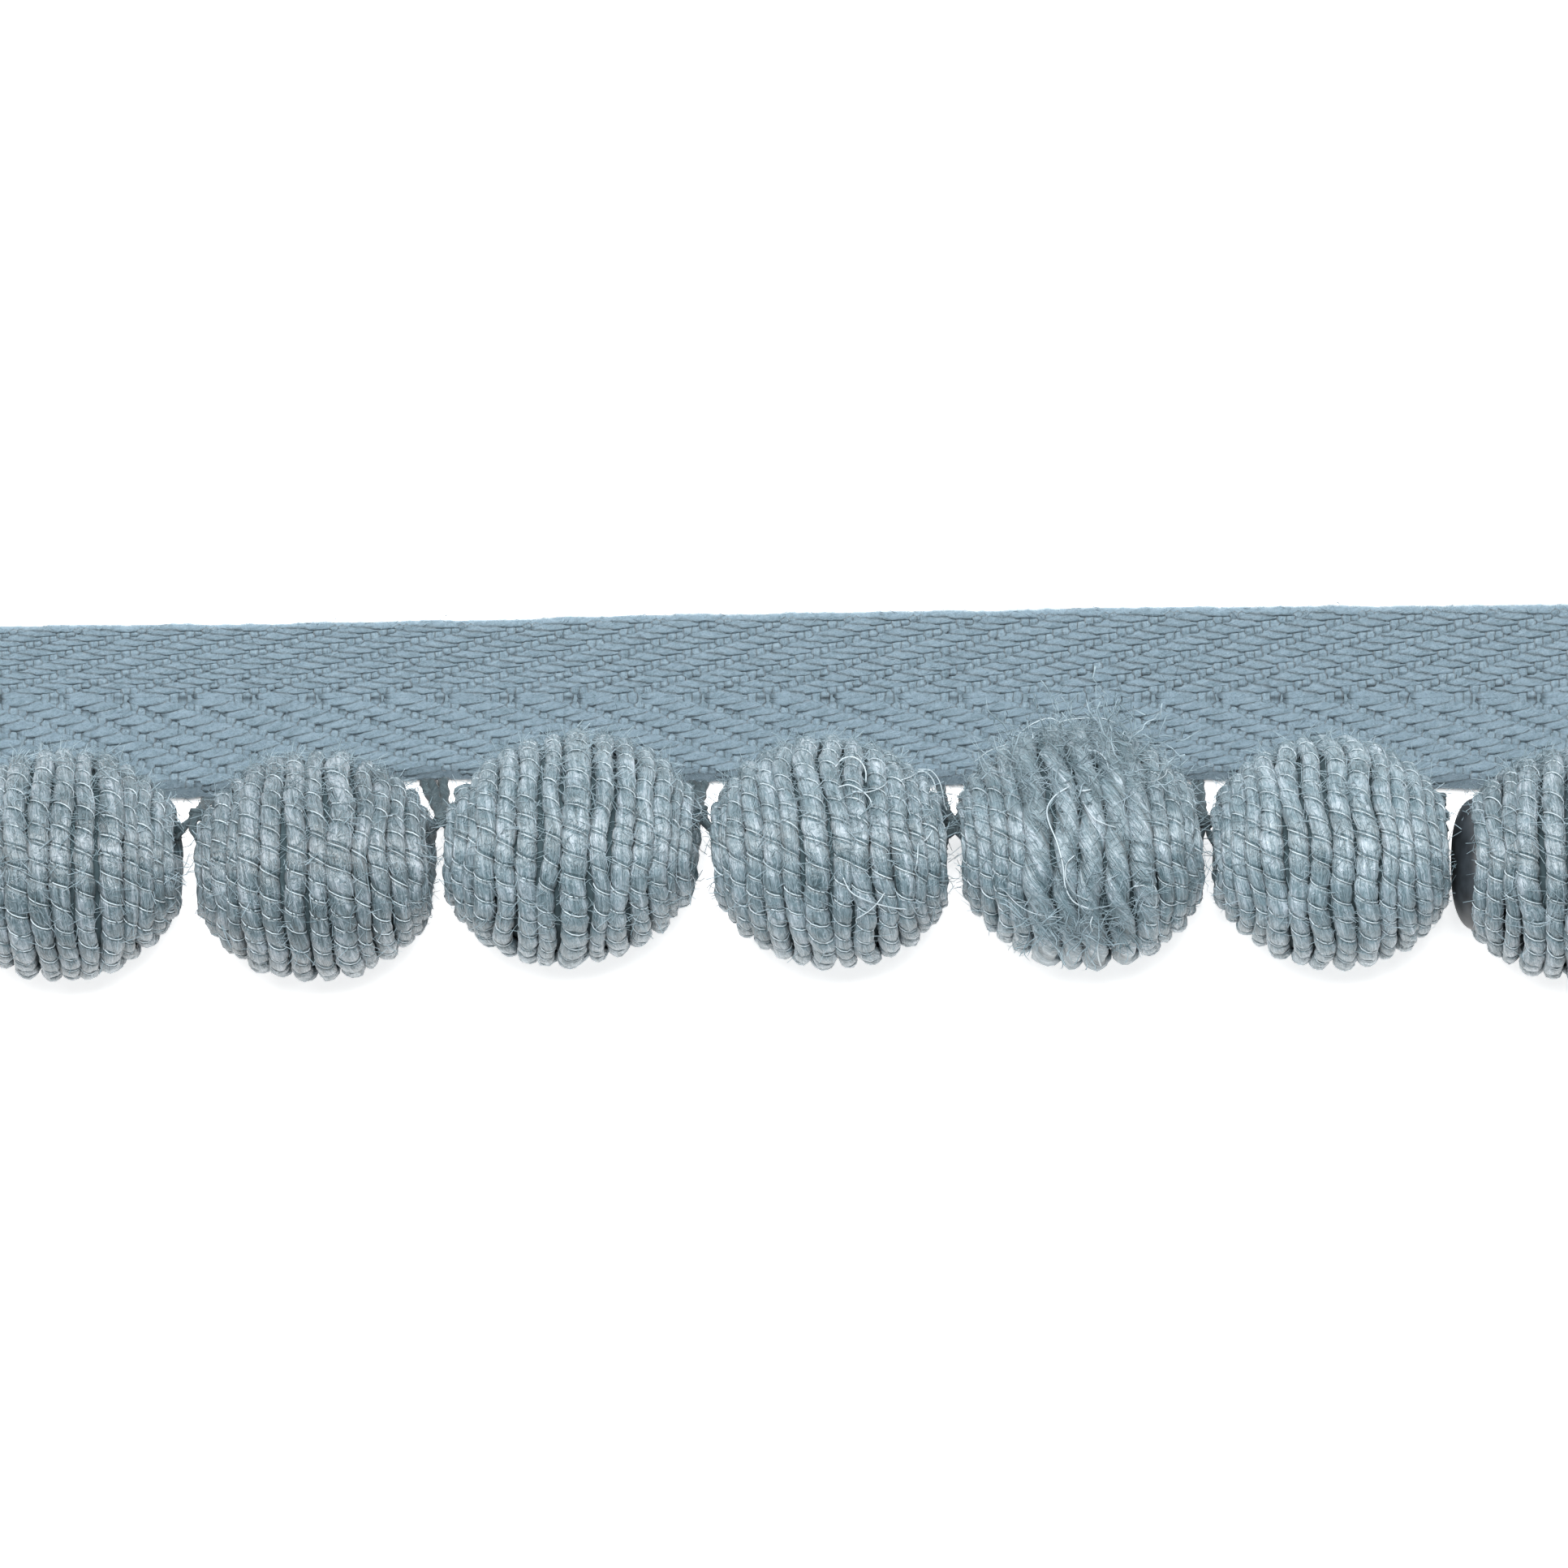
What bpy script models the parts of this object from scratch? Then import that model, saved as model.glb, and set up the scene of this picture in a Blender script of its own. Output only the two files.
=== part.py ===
"""Pompom fringe trim: a woven tape with seven balls of wound cord hung along its lower edge.

The trim lies on its back. X runs along the tape, Y up across it, away from the balls, and Z up off
the surface. The origin is the middle of the tape's back face, which lies flat at Z = 0, and each
ball touches the surface with a small flat spot.
"""
import math
import random

import bmesh
import bpy
import numpy as np
from mathutils import Vector

MM = 0.001

# Tape: a herringbone ribbon whose edges wander a little
TAPE_LENGTH = 185.6 * MM
TAPE_THICKNESS = 1.2 * MM
TAPE_RIM_DROP = 0.25 * MM
TAPE_GROOVE = 0.2 * MM
TAPE_COLUMNS = 58
TAPE_ROWS = 10
EDGE_RIPPLE = 0.12 * MM

# Millimetres from the origin, along and across the tape
TAPE_SECTIONS = (
    # along, lower edge, upper edge
    (-92.8, -9.6, 7.5),
    (-66.0, -10.4, 7.7),
    (-39.6, -8.5, 8.1),
    (-12.6, -8.8, 8.7),
    (13.9, -9.0, 9.1),
    (40.6, -8.6, 9.5),
    (67.0, -9.5, 9.7),
    (92.8, -9.2, 9.75),
)

# Balls: cord wound side by side round an axis along the tape
TURNS = 15
SIDES = 18
WOUND_HALF_ANGLE = math.radians(72)
ARC_STEPS = 400
CORD_GROOVE = 0.6 * MM
CORD_SHOULDER = 0.28
SLUB = 0.14 * MM
TURN_SHIFT = 0.12
END_RECESS = 0.45 * MM
FRONT_BOW = 0.06
FLAT_SPOT_DEPTH = 0.12 * MM

# Millimetres from the origin, degrees that the turns lean to the right at their top, and degrees
# of the left side that the winding leaves bare
BALLS = (
    # name, along, across, half length, radius, lean, bare
    ("ball_1", -79.4, -17.6, 12.5, 12.3, 1.0, 0),
    ("ball_2", -52.9, -17.7, 12.75, 12.2, 0.5, 0),
    ("ball_3", -26.2, -15.9, 13.25, 12.5, 4.0, 0),
    ("ball_4", 1.05, -16.3, 12.6, 12.4, -2.5, 0),
    ("ball_5", 27.2, -15.7, 13.0, 12.8, -3.0, 0),
    ("ball_6", 53.5, -16.3, 12.7, 12.4, -2.0, 0),
    ("ball_7", 79.6, -17.5, 12.9, 12.4, 1.0, 18),
)

# Core: the domed end that the last ball's winding leaves bare
CORE_RADIUS = 6.9 * MM
CORE_FLAT_RADIUS = 3.2 * MM
CORE_HOLE_RADIUS = 1.0 * MM
CORE_SIDES = 24
CORE_DOME_STEPS = 6
SEAT_GAP = 0.3 * MM

# Links: the threads that tie the balls' axis to the tape's lower edge, one in each gap
ROOT_RADIUS = 0.7 * MM
STRAND_RADIUS = 0.55 * MM
KNOT_RADIUS = 0.62 * MM
TAIL_RADIUS = 0.28 * MM
LINK_GRIP = 2.0 * MM
LINK_SLOPE = math.radians(39)
LINK_STEPS = 14

# Millimetres: root and knot to the right of the gap's middle, knot and tail from the balls' axis
LINKS = (
    # name, left ball, right ball, root shift, knot shift, knot reach, tail reach
    ("link_1", 0, 1, 1.0, 0.1, 5.6, 4.2),
    ("link_2", 1, 2, -1.6, 0.0, 5.4, 4.6),
    ("link_3", 2, 3, -0.8, 0.0, 5.6, 4.2),
    ("link_4", 3, 4, 0.3, 0.0, 5.6, 5.0),
    ("link_5", 4, 5, -0.8, 0.0, 6.0, 5.3),
    ("link_6", 5, 6, -1.2, -1.1, 7.4, 5.6),
)

COLOURS = {
    # slot: red, green, blue, roughness
    "tape_cotton": (0.27, 0.35, 0.42, 0.9),
    "wound_cord": (0.25, 0.33, 0.38, 0.7),
    "link_thread": (0.17, 0.23, 0.27, 0.85),
    "core": (0.025, 0.035, 0.045, 0.6),
}


def clear_scene():
    for old in list(bpy.data.objects):
        bpy.data.objects.remove(old, do_unlink=True)


def make_material(slot):
    red, green, blue, roughness = COLOURS[slot]
    material = bpy.data.materials.new(slot)
    material.use_nodes = True
    shader = material.node_tree.nodes["Principled BSDF"]
    shader.inputs["Base Color"].default_value = (red, green, blue, 1)
    shader.inputs["Roughness"].default_value = roughness
    shader.inputs["Metallic"].default_value = 0
    return material


def add_object(name, mesh, material, collection):
    """Puts a mesh in the trim's collection under its own name."""
    thing = bpy.data.objects.new(name, mesh)
    thing.data.name = name
    thing.data.materials.clear()
    thing.data.materials.append(material)
    collection.objects.link(thing)
    return thing


def evaluated_copy(thing):
    """The object's mesh with its modifiers applied."""
    bpy.context.view_layer.update()
    graph = bpy.context.evaluated_depsgraph_get()
    return bpy.data.meshes.new_from_object(thing.evaluated_get(graph))


def turned_mesh(profile, sides, scratch):
    """Spins a profile of (radius, height) points, from its top to its bottom, round Z."""
    mesh = bpy.data.meshes.new("profile")
    points = [(radius, 0, height) for radius, height in profile]
    edges = [(i, i + 1) for i in range(len(points) - 1)]
    mesh.from_pydata(points, edges, [])
    thing = bpy.data.objects.new("profile", mesh)
    scratch.objects.link(thing)
    screw = thing.modifiers.new("Screw", "SCREW")
    screw.axis = "Z"
    screw.steps = sides
    screw.render_steps = sides
    screw.use_merge_vertices = True
    screw.merge_threshold = 0.001 * MM
    turned = evaluated_copy(thing)
    bpy.data.objects.remove(thing, do_unlink=True)
    return turned


def lay_on_x(mesh):
    """Turns a mesh spun round Z so that its axis lies along X."""
    for vertex in mesh.vertices:
        x, y, z = vertex.co
        vertex.co = (z, x, y)


def edge_at(along, column):
    """The tape's lower (1) or upper (2) edge at a place along it, eased between sections."""
    table = [[value * MM for value in row] for row in TAPE_SECTIONS]
    for left, right in zip(table, table[1:]):
        if along <= right[0] or right is table[-1]:
            share = min(max((along - left[0]) / (right[0] - left[0]), 0), 1)
            eased = (1 - math.cos(math.pi * share)) / 2
            return left[column] + (right[column] - left[column]) * eased


def edge_ripple(along, phase):
    """The small waves that the weft leaves along an edge."""
    waves = math.sin(along / (2.1 * MM) + phase) + 0.6 * math.sin(along / (1.3 * MM) + 2 * phase)
    return EDGE_RIPPLE * waves / 1.6


def make_tape(material, collection):
    """A flat grid is fitted between the edges, thickened upwards and crowned into two bands."""
    grid = bmesh.new()
    bmesh.ops.create_grid(grid, x_segments=TAPE_COLUMNS, y_segments=TAPE_ROWS, size=1)
    for vertex in grid.verts:
        across = (vertex.co.y + 1) / 2
        along = vertex.co.x * TAPE_LENGTH / 2
        lower = edge_at(along, 1) + edge_ripple(along, 0.4)
        upper = edge_at(along, 2) + edge_ripple(along, 1.9)
        vertex.co = (along, lower + (upper - lower) * across, 0)
    mesh = bpy.data.meshes.new("tape")
    grid.to_mesh(mesh)
    grid.free()
    tape = add_object("tape", mesh, material, collection)
    solidify = tape.modifiers.new("Thickness", "SOLIDIFY")
    solidify.thickness = TAPE_THICKNESS
    solidify.offset = 1
    tape_mesh = evaluated_copy(tape)
    bpy.data.objects.remove(tape, do_unlink=True)
    for vertex in tape_mesh.vertices:
        if vertex.co.z > TAPE_THICKNESS / 2:
            vertex.co.z -= top_drop(vertex.co.x, vertex.co.y)
    return add_object("tape", tape_mesh, material, collection)


def top_drop(along, across):
    """How far the face lies below full thickness: at both edges, and where the bands meet."""
    lower, upper = edge_at(along, 1), edge_at(along, 2)
    share = min(max((across - lower) / (upper - lower), 0), 1)
    band = abs(math.sin(2 * math.pi * share))
    rim = TAPE_RIM_DROP * (1 - band ** 0.5) if share < 0.25 or share > 0.75 else 0
    middle = TAPE_GROOVE * (1 - band ** 0.5) if 0.25 <= share <= 0.75 else 0
    return rim + middle


def wound_profile(half_length, radius, bare, seed):
    """Points (radius, place on the axis) of a wound ball, from its right end to its left."""
    chance = random.Random(seed)
    stretch = half_length / math.sin(WOUND_HALF_ANGLE)
    wound_angle = 2 * WOUND_HALF_ANGLE - math.radians(bare)
    angles = np.linspace(WOUND_HALF_ANGLE, WOUND_HALF_ANGLE - wound_angle, ARC_STEPS)
    places = np.column_stack((stretch * np.sin(angles), radius * np.cos(angles)))
    arc = np.concatenate(([0], np.cumsum(np.linalg.norm(np.diff(places, axis=0), axis=1))))
    turns = round(TURNS * wound_angle / (2 * WOUND_HALF_ANGLE))
    bounds = [turn + chance.uniform(-TURN_SHIFT, TURN_SHIFT) for turn in range(turns + 1)]
    bounds[0], bounds[-1] = 0, turns

    def point(turn, sunk):
        angle = np.interp(turn / turns * arc[-1], arc, angles)
        outward = Vector((math.sin(angle) / stretch, math.cos(angle) / radius)).normalized()
        place = stretch * math.sin(angle) - outward.x * sunk
        return radius * math.cos(angle) - outward.y * sunk, place

    rows = [point(bounds[0], CORD_GROOVE)]
    for start, end in zip(bounds, bounds[1:]):
        slub = chance.uniform(0, SLUB)
        width = end - start
        rows.append(point(start + width * CORD_SHOULDER, slub))
        rows.append(point(end - width * CORD_SHOULDER, slub))
        rows.append(point(end, CORD_GROOVE))
    right_end = rows[0][1] - END_RECESS
    left_end = rows[-1][1] + (0 if bare else END_RECESS)
    return [(0, right_end), (rows[0][0] - END_RECESS, right_end)] + rows + [
        (rows[-1][0] - END_RECESS, left_end), (0, left_end)]


def make_ball(row, seed, material, collection, scratch):
    """A spun, ridged ball, bowed and leaned as it is wound, with a flat spot where it rests."""
    name, along, across, half_length, radius, lean, bare = row
    half_length, radius = half_length * MM, radius * MM
    mesh = turned_mesh(wound_profile(half_length, radius, bare, seed), SIDES, scratch)
    lay_on_x(mesh)
    floor = -radius * math.cos(math.pi / SIDES) + FLAT_SPOT_DEPTH
    for vertex in mesh.vertices:
        x, y, z = vertex.co
        x = bowed(x, y, z, radius, lean)
        z = max(z, floor) - floor
        vertex.co = (x + along * MM, y + across * MM, z)
    return add_object(name, mesh, material, collection)


def bowed(x, y, z, radius, lean):
    """Where a point of a turn lies along the axis, once the turn is bowed and leaned."""
    return x * (1 + FRONT_BOW * (z / radius) ** 2) + math.tan(math.radians(lean)) * y


def axis_height(row):
    radius = row[4] * MM
    return radius * math.cos(math.pi / SIDES) - FLAT_SPOT_DEPTH


def make_core(row, seed, material, collection, scratch):
    """The bare end of the last ball's core: a short disc with a rounded rim and a thread hole."""
    _, along, across, half_length, radius, lean, bare = row
    half_length, radius = half_length * MM, radius * MM
    wound_end = wound_profile(half_length, radius, bare, seed)[-1][1]
    seat = SEAT_GAP - bowed(wound_end, -CORE_RADIUS, CORE_RADIUS, radius, lean)
    length = half_length - seat
    dome_width = CORE_RADIUS - CORE_FLAT_RADIUS
    hole_depth = length - CORE_HOLE_RADIUS
    profile = [(0, hole_depth), (CORE_HOLE_RADIUS * 0.6, hole_depth), (CORE_HOLE_RADIUS, length)]
    for turn in np.linspace(0, math.pi / 2, CORE_DOME_STEPS):
        profile.append((CORE_FLAT_RADIUS + dome_width * math.sin(turn), length * math.cos(turn)))
    profile.append((0, 0))
    mesh = turned_mesh(profile, CORE_SIDES, scratch)
    for vertex in mesh.vertices:
        x, y, z = vertex.co
        vertex.co = (along * MM - seat - z, across * MM + x, axis_height(row) - y)
    return add_object("core_end", mesh, material, collection)


def smooth_route(points, count):
    """A Catmull-Rom curve through rows of (x, y, z, radius), read at even steps."""
    rows = [np.array(point, dtype=float) for point in points]
    rows = [2 * rows[0] - rows[1]] + rows + [2 * rows[-1] - rows[-2]]
    spans = len(rows) - 3
    route = []
    for step in range(count):
        place = step / (count - 1) * spans
        span = min(int(place), spans - 1)
        t = place - span
        a, b, c, d = rows[span:span + 4]
        bend = (2 * a - 5 * b + 4 * c - d) * t ** 2 + (3 * b - 3 * c + d - a) * t ** 3
        route.append(0.5 * (2 * b + (c - a) * t + bend))
    return route


def make_link(row, material, collection):
    """A tapered strand from the tape's face, over its lower edge, to a knot between two balls."""
    name, left, right, root_shift, knot_shift, knot_reach, tail_reach = row
    left_ball, right_ball = BALLS[left], BALLS[right]
    left_end = left_ball[1] + left_ball[3]
    right_end = right_ball[1] - right_ball[3]
    gap = (left_end + right_end) / 2 * MM
    axis_across = (left_ball[2] + right_ball[2]) / 2 * MM
    height = (axis_height(left_ball) + axis_height(right_ball)) / 2
    root, knot = gap + root_shift * MM, gap + knot_shift * MM
    edge = edge_at(root, 1)
    clear = TAPE_THICKNESS + SEAT_GAP + ROOT_RADIUS

    def off_axis(reach):
        across = axis_across + reach * MM * math.cos(LINK_SLOPE)
        return across, height - reach * MM * math.sin(LINK_SLOPE)

    knot_across, knot_height = off_axis(knot_reach)
    tail_across, tail_height = off_axis(tail_reach)
    points = [
        (root, edge + LINK_GRIP, clear, ROOT_RADIUS),
        (root, edge + LINK_GRIP / 4, clear, ROOT_RADIUS),
        ((root + knot) / 2, (edge + knot_across) / 2, (clear + knot_height) / 2, STRAND_RADIUS),
        (knot, knot_across, knot_height, KNOT_RADIUS),
        (gap, tail_across, tail_height, TAIL_RADIUS),
    ]
    curve = bpy.data.curves.new(name, "CURVE")
    curve.dimensions = "3D"
    curve.bevel_depth = 1
    curve.bevel_resolution = 1
    curve.use_fill_caps = True
    spline = curve.splines.new("POLY")
    spline.points.add(LINK_STEPS - 1)
    for target, (x, y, z, thick) in zip(spline.points, smooth_route(points, LINK_STEPS)):
        target.co = (x, y, z, 1)
        target.radius = thick
    strand = bpy.data.objects.new(name, curve)
    collection.objects.link(strand)
    mesh = evaluated_copy(strand)
    bpy.data.objects.remove(strand, do_unlink=True)
    welded = bmesh.new()
    welded.from_mesh(mesh)
    bmesh.ops.remove_doubles(welded, verts=welded.verts, dist=0.001 * MM)
    bmesh.ops.recalc_face_normals(welded, faces=welded.faces)
    welded.to_mesh(mesh)
    welded.free()
    return add_object(name, mesh, material, collection)


def main():
    clear_scene()
    collection = bpy.data.collections.new("pompom_fringe_trim")
    scratch = bpy.data.collections.new("guides")
    for group in (collection, scratch):
        bpy.context.scene.collection.children.link(group)
    materials = {slot: make_material(slot) for slot in COLOURS}
    make_tape(materials["tape_cotton"], collection)
    for number, row in enumerate(BALLS, start=1):
        ball = make_ball(row, number, materials["wound_cord"], collection, scratch)
        ball.data.shade_smooth()
    make_core(BALLS[-1], len(BALLS), materials["core"], collection, scratch)
    for row in LINKS:
        make_link(row, materials["link_thread"], collection)


main()
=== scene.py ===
# %% [markdown]
# Pompom fringe trim.
# This lesson dresses a plain model of a sewing trim: a woven herringbone tape with seven balls of
# wound cord along its lower edge. The plain model gives every piece its size and place. Here the
# cord, its binding thread, the weave and the loose fibres are made, mostly with Geometry Nodes.

# %% Load the frame
import math
from functools import partialmethod
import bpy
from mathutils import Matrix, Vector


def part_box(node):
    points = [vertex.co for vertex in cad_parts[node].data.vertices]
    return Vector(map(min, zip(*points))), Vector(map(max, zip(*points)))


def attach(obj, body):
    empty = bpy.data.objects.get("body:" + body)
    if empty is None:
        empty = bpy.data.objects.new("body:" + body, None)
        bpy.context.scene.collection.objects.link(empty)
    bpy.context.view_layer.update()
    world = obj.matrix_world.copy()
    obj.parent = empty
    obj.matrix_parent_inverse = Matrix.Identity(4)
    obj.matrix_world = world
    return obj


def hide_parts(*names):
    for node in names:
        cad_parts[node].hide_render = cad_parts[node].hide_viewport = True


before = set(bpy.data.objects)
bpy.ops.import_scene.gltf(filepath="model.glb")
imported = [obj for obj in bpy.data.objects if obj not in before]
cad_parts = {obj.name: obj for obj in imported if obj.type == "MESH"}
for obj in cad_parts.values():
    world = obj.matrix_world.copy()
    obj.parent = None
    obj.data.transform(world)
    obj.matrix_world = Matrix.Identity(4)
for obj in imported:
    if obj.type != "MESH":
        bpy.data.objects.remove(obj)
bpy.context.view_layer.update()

from types import SimpleNamespace

import bmesh
import bpy
import numpy as np
from mathutils import Vector

MM = 0.001
TAU = 2 * math.pi
print("nodes:", sorted(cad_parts))

# %% [markdown]
# The camera comes first. Like the photograph, it looks straight down. It stands far off with a
# long lens, because a near camera would make the balls look larger than the tape below them. One
# number ties the picture to the object: how many pixels make a millimetre.

# %% Camera
IMAGE_PIXELS = 1932
PIXELS_PER_MM = 11.75
ORIGIN_PIXEL = (1011.5, 859.0)
CAMERA_HEIGHT = 1.2
BALL_MIDDLE_HEIGHT = 12.2 * MM


def from_pixel(x, y):
    """The place on the object, in metres, that a pixel of the picture shows."""
    return (x - ORIGIN_PIXEL[0]) / PIXELS_PER_MM * MM, (ORIGIN_PIXEL[1] - y) / PIXELS_PER_MM * MM


def add_object(name, data):
    thing = bpy.data.objects.new(name, data)
    bpy.context.scene.collection.objects.link(thing)
    return thing


camera_data = bpy.data.cameras.new("camera")
camera = bpy.context.scene.camera = add_object("camera", camera_data)
camera.location = (*from_pixel(IMAGE_PIXELS / 2, IMAGE_PIXELS / 2), CAMERA_HEIGHT)
seen_width = IMAGE_PIXELS / PIXELS_PER_MM * MM
camera_data.lens = camera_data.sensor_width * (CAMERA_HEIGHT - BALL_MIDDLE_HEIGHT) / seen_width
camera_data.clip_start, camera_data.clip_end = 0.05, 20
print(f"the camera sees {seen_width / MM:.1f} mm with a {camera_data.lens:.0f} mm lens")

# %% [markdown]
# Geometry Nodes are clearest as formulas. The small class below wraps a node's socket, so that
# a + b, a * b or sine(a) each add the Math node that does it. The same class serves materials.

# %% Formulas as nodes


def feed(socket, value):
    """Links a field to a socket, or sets the socket to a plain value."""
    if isinstance(value, Field):
        value.tree.links.new(value.socket, socket)
    else:
        socket.default_value = value


def node_of(tree, kind, **settings):
    """Adds a node. Capitalised names feed its inputs, with _ for a space, and others set the node."""
    node = tree.nodes.new(kind)
    for name, value in settings.items():
        if name[0].isupper():
            feed(node.inputs[name.replace("_", " ")], value)
        else:
            setattr(node, name, value)
    return node


def calculate(kind, operation, *values):
    """Adds a node that calculates with the values, the first of which is a field."""
    node = node_of(values[0].tree, kind, operation=operation)
    for slot, value in zip(node.inputs, values):
        feed(slot, value)
    return node


class Field:
    """A node's output that Python's operators can use."""

    def __init__(self, tree, socket):
        self.tree, self.socket = tree, socket

    def math(self, operation, *others):
        return Field(self.tree, calculate("ShaderNodeMath", operation, self, *others).outputs[0])

    def __rsub__(self, other):
        return self.math("MULTIPLY_ADD", -1.0, other)


OPERATIONS = {
    "__add__": "ADD", "__radd__": "ADD", "__sub__": "SUBTRACT", "__mul__": "MULTIPLY",
    "__rmul__": "MULTIPLY", "__truediv__": "DIVIDE", "power": "POWER", "size": "ABSOLUTE",
    "at_least": "MAXIMUM", "at_most": "MINIMUM", "above": "GREATER_THAN", "below": "LESS_THAN",
}
for method, operation in OPERATIONS.items():
    setattr(Field, method, partialmethod(Field.math, operation))


def sine(field):
    return field.math("SINE")


def cosine(field):
    return field.math("COSINE")


def output_of(tree, kind, **settings):
    """Adds a node in the same way, and gives its first output as a field."""
    return Field(tree, node_of(tree, kind, **settings).outputs[0])


def vector(x, y, z):
    tree = next(part.tree for part in (x, y, z) if isinstance(part, Field))
    return output_of(tree, "ShaderNodeCombineXYZ", X=x, Y=y, Z=z)


def parts_of(field):
    """The X, Y and Z of a vector field."""
    node = node_of(field.tree, "ShaderNodeSeparateXYZ", Vector=field)
    return [Field(field.tree, output) for output in node.outputs]


def noise(place, scale=1.0, detail=1.0):
    """Smooth noise from about -0.5 to 0.5."""
    return output_of(place.tree, "ShaderNodeTexNoise", Vector=place, Scale=scale, Detail=detail) - 0.5


def nearness(distance, full, none):
    """A smooth 1 where the distance is up to full, and 0 from none outwards."""
    return output_of(distance.tree, "ShaderNodeMapRange", interpolation_type="SMOOTHSTEP",
                     Value=distance, From_Min=full, From_Max=none, To_Min=1.0, To_Max=0.0)


def vector_math(operation, *values):
    node = calculate("ShaderNodeVectorMath", operation, *values)
    result = "Value" if operation == "DOT_PRODUCT" else "Vector"
    return Field(values[0].tree, node.outputs[result])


def push_of(place, scale, detail):
    """A vector of smooth noise, each part from about -0.5 to 0.5."""
    node = node_of(place.tree, "ShaderNodeTexNoise", Vector=place, Scale=scale, Detail=detail)
    return vector_math("SUBTRACT", Field(place.tree, node.outputs["Color"]), (0.5, 0.5, 0.5))


print("formulas ready")

# %% [markdown]
# A geometry tree needs named inputs, and a modifier to run it. The result is then copied to a
# plain mesh, because the finished piece must not depend on the tree any more.

# %% Trees and plain meshes
SOCKET_KINDS = {float: "NodeSocketFloat", int: "NodeSocketInt"}
WELD = 0.002 * MM


def new_tree(name, inputs):
    """A geometry tree with an input for each name and default, and those inputs as fields."""
    tree = bpy.data.node_groups.new(name, "GeometryNodeTree")
    tree.interface.new_socket("Geometry", in_out="OUTPUT", socket_type="NodeSocketGeometry")
    tree.interface.new_socket("Geometry", in_out="INPUT", socket_type="NodeSocketGeometry")
    for label, value in inputs.items():
        kind = SOCKET_KINDS[type(value)]
        tree.interface.new_socket(label, in_out="INPUT", socket_type=kind).default_value = value
    tree.interface.new_socket("Material", in_out="INPUT", socket_type="NodeSocketMaterial")
    entry = tree.nodes.new("NodeGroupInput")
    return tree, SimpleNamespace(**{
        output.name.lower().replace(" ", "_"): Field(tree, output)
        for output in entry.outputs if output.name})


def close_tree(geometry, material):
    """Ends a tree as every tree here ends: instances made real, and the material set."""
    tree = geometry.tree
    real = output_of(tree, "GeometryNodeRealizeInstances", Geometry=geometry)
    painted = output_of(tree, "GeometryNodeSetMaterial", Geometry=real, Material=material)
    feed(tree.nodes.new("NodeGroupOutput").inputs[0], painted)
    print(tree.name + ":", len(tree.nodes), "nodes")


def points_of(mesh):
    places = np.empty(len(mesh.vertices) * 3, np.float32)
    mesh.vertices.foreach_get("co", places)
    return places.reshape(-1, 3).astype(float)


def outward(mesh):
    """Flips a closed mesh whose faces point inwards."""
    mesh.calc_loop_triangles()
    corners = np.empty(len(mesh.loop_triangles) * 3, np.int32)
    mesh.loop_triangles.foreach_get("vertices", corners)
    a, b, c = points_of(mesh)[corners.reshape(-1, 3)].transpose(1, 0, 2)
    if np.einsum("ij,ij->i", a, np.cross(b, c)).sum() < 0:
        mesh.flip_normals()


def run_tree(tree, name, values, material, start=None):
    """Runs a tree on an object and keeps its result as a plain mesh object."""
    maker = add_object("maker", start or bpy.data.meshes.new("empty"))
    modifier = maker.modifiers.new("Nodes", "NODES")
    modifier.node_group = tree
    for socket in tree.interface.items_tree:
        if socket.in_out == "INPUT" and socket.name in values:
            modifier[socket.identifier] = values[socket.name]
        elif socket.in_out == "INPUT" and socket.name == "Material":
            modifier[socket.identifier] = material
    bpy.context.view_layer.update()
    graph = bpy.context.evaluated_depsgraph_get()
    mesh = bpy.data.meshes.new_from_object(maker.evaluated_get(graph))
    bpy.data.objects.remove(maker, do_unlink=True)
    outward(mesh)
    mesh.shade_smooth()
    mesh.name = name
    print(f"{name}: {sum(len(face.vertices) - 2 for face in mesh.polygons)} triangles")
    return add_object(name, mesh)


def tube_grid(given):
    """A flat grid to bend into a tube, and its two coordinates: along and around, from 0 to 1."""
    steps, sides = given.steps, given.sides
    grid = output_of(steps.tree, "GeometryNodeMeshGrid", Size_X=1.0, Size_Y=1.0,
                     Vertices_X=steps + 1, Vertices_Y=sides + 1)
    x, y, _ = parts_of(output_of(steps.tree, "GeometryNodeInputPosition"))
    return grid, x + 0.5, y + 0.5


def closing(along, steps):
    """0 at both ends of a tube and 1 between them, so that its ends close."""
    return (along.at_most(1 - along) * steps).at_most(1.0)


def point_line(points):
    """A line of points to place, and each point's share of the way along it."""
    line = output_of(points.tree, "GeometryNodeMeshLine", Count=points)
    return line, output_of(points.tree, "GeometryNodeInputIndex") / (points - 1)


def thin_tube(line, radius):
    """A closed tube along a line. Three sides are enough: it is too thin to look round."""
    tree = line.tree
    curve = output_of(tree, "GeometryNodeMeshToCurve", Mesh=line)
    ring = output_of(tree, "GeometryNodeCurvePrimitiveCircle", Resolution=3, Radius=radius)
    return output_of(tree, "GeometryNodeCurveToMesh", Curve=curve, Profile_Curve=ring, Fill_Caps=True)


def store(geometry, name, value, kind="FLOAT_VECTOR", domain="POINT"):
    """Keeps a field on the geometry under a name, for a later node or a material."""
    return output_of(geometry.tree, "GeometryNodeStoreNamedAttribute", data_type=kind, domain=domain,
                     Geometry=geometry, Name=name, Value=value)


def read(tree, name, kind="FLOAT_VECTOR"):
    return output_of(tree, "GeometryNodeInputNamedAttribute", data_type=kind, Name=name)


def placed(geometry, place):
    """Moves every point of the geometry to a computed place."""
    return output_of(geometry.tree, "GeometryNodeSetPosition", Geometry=geometry, Position=place)


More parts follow.
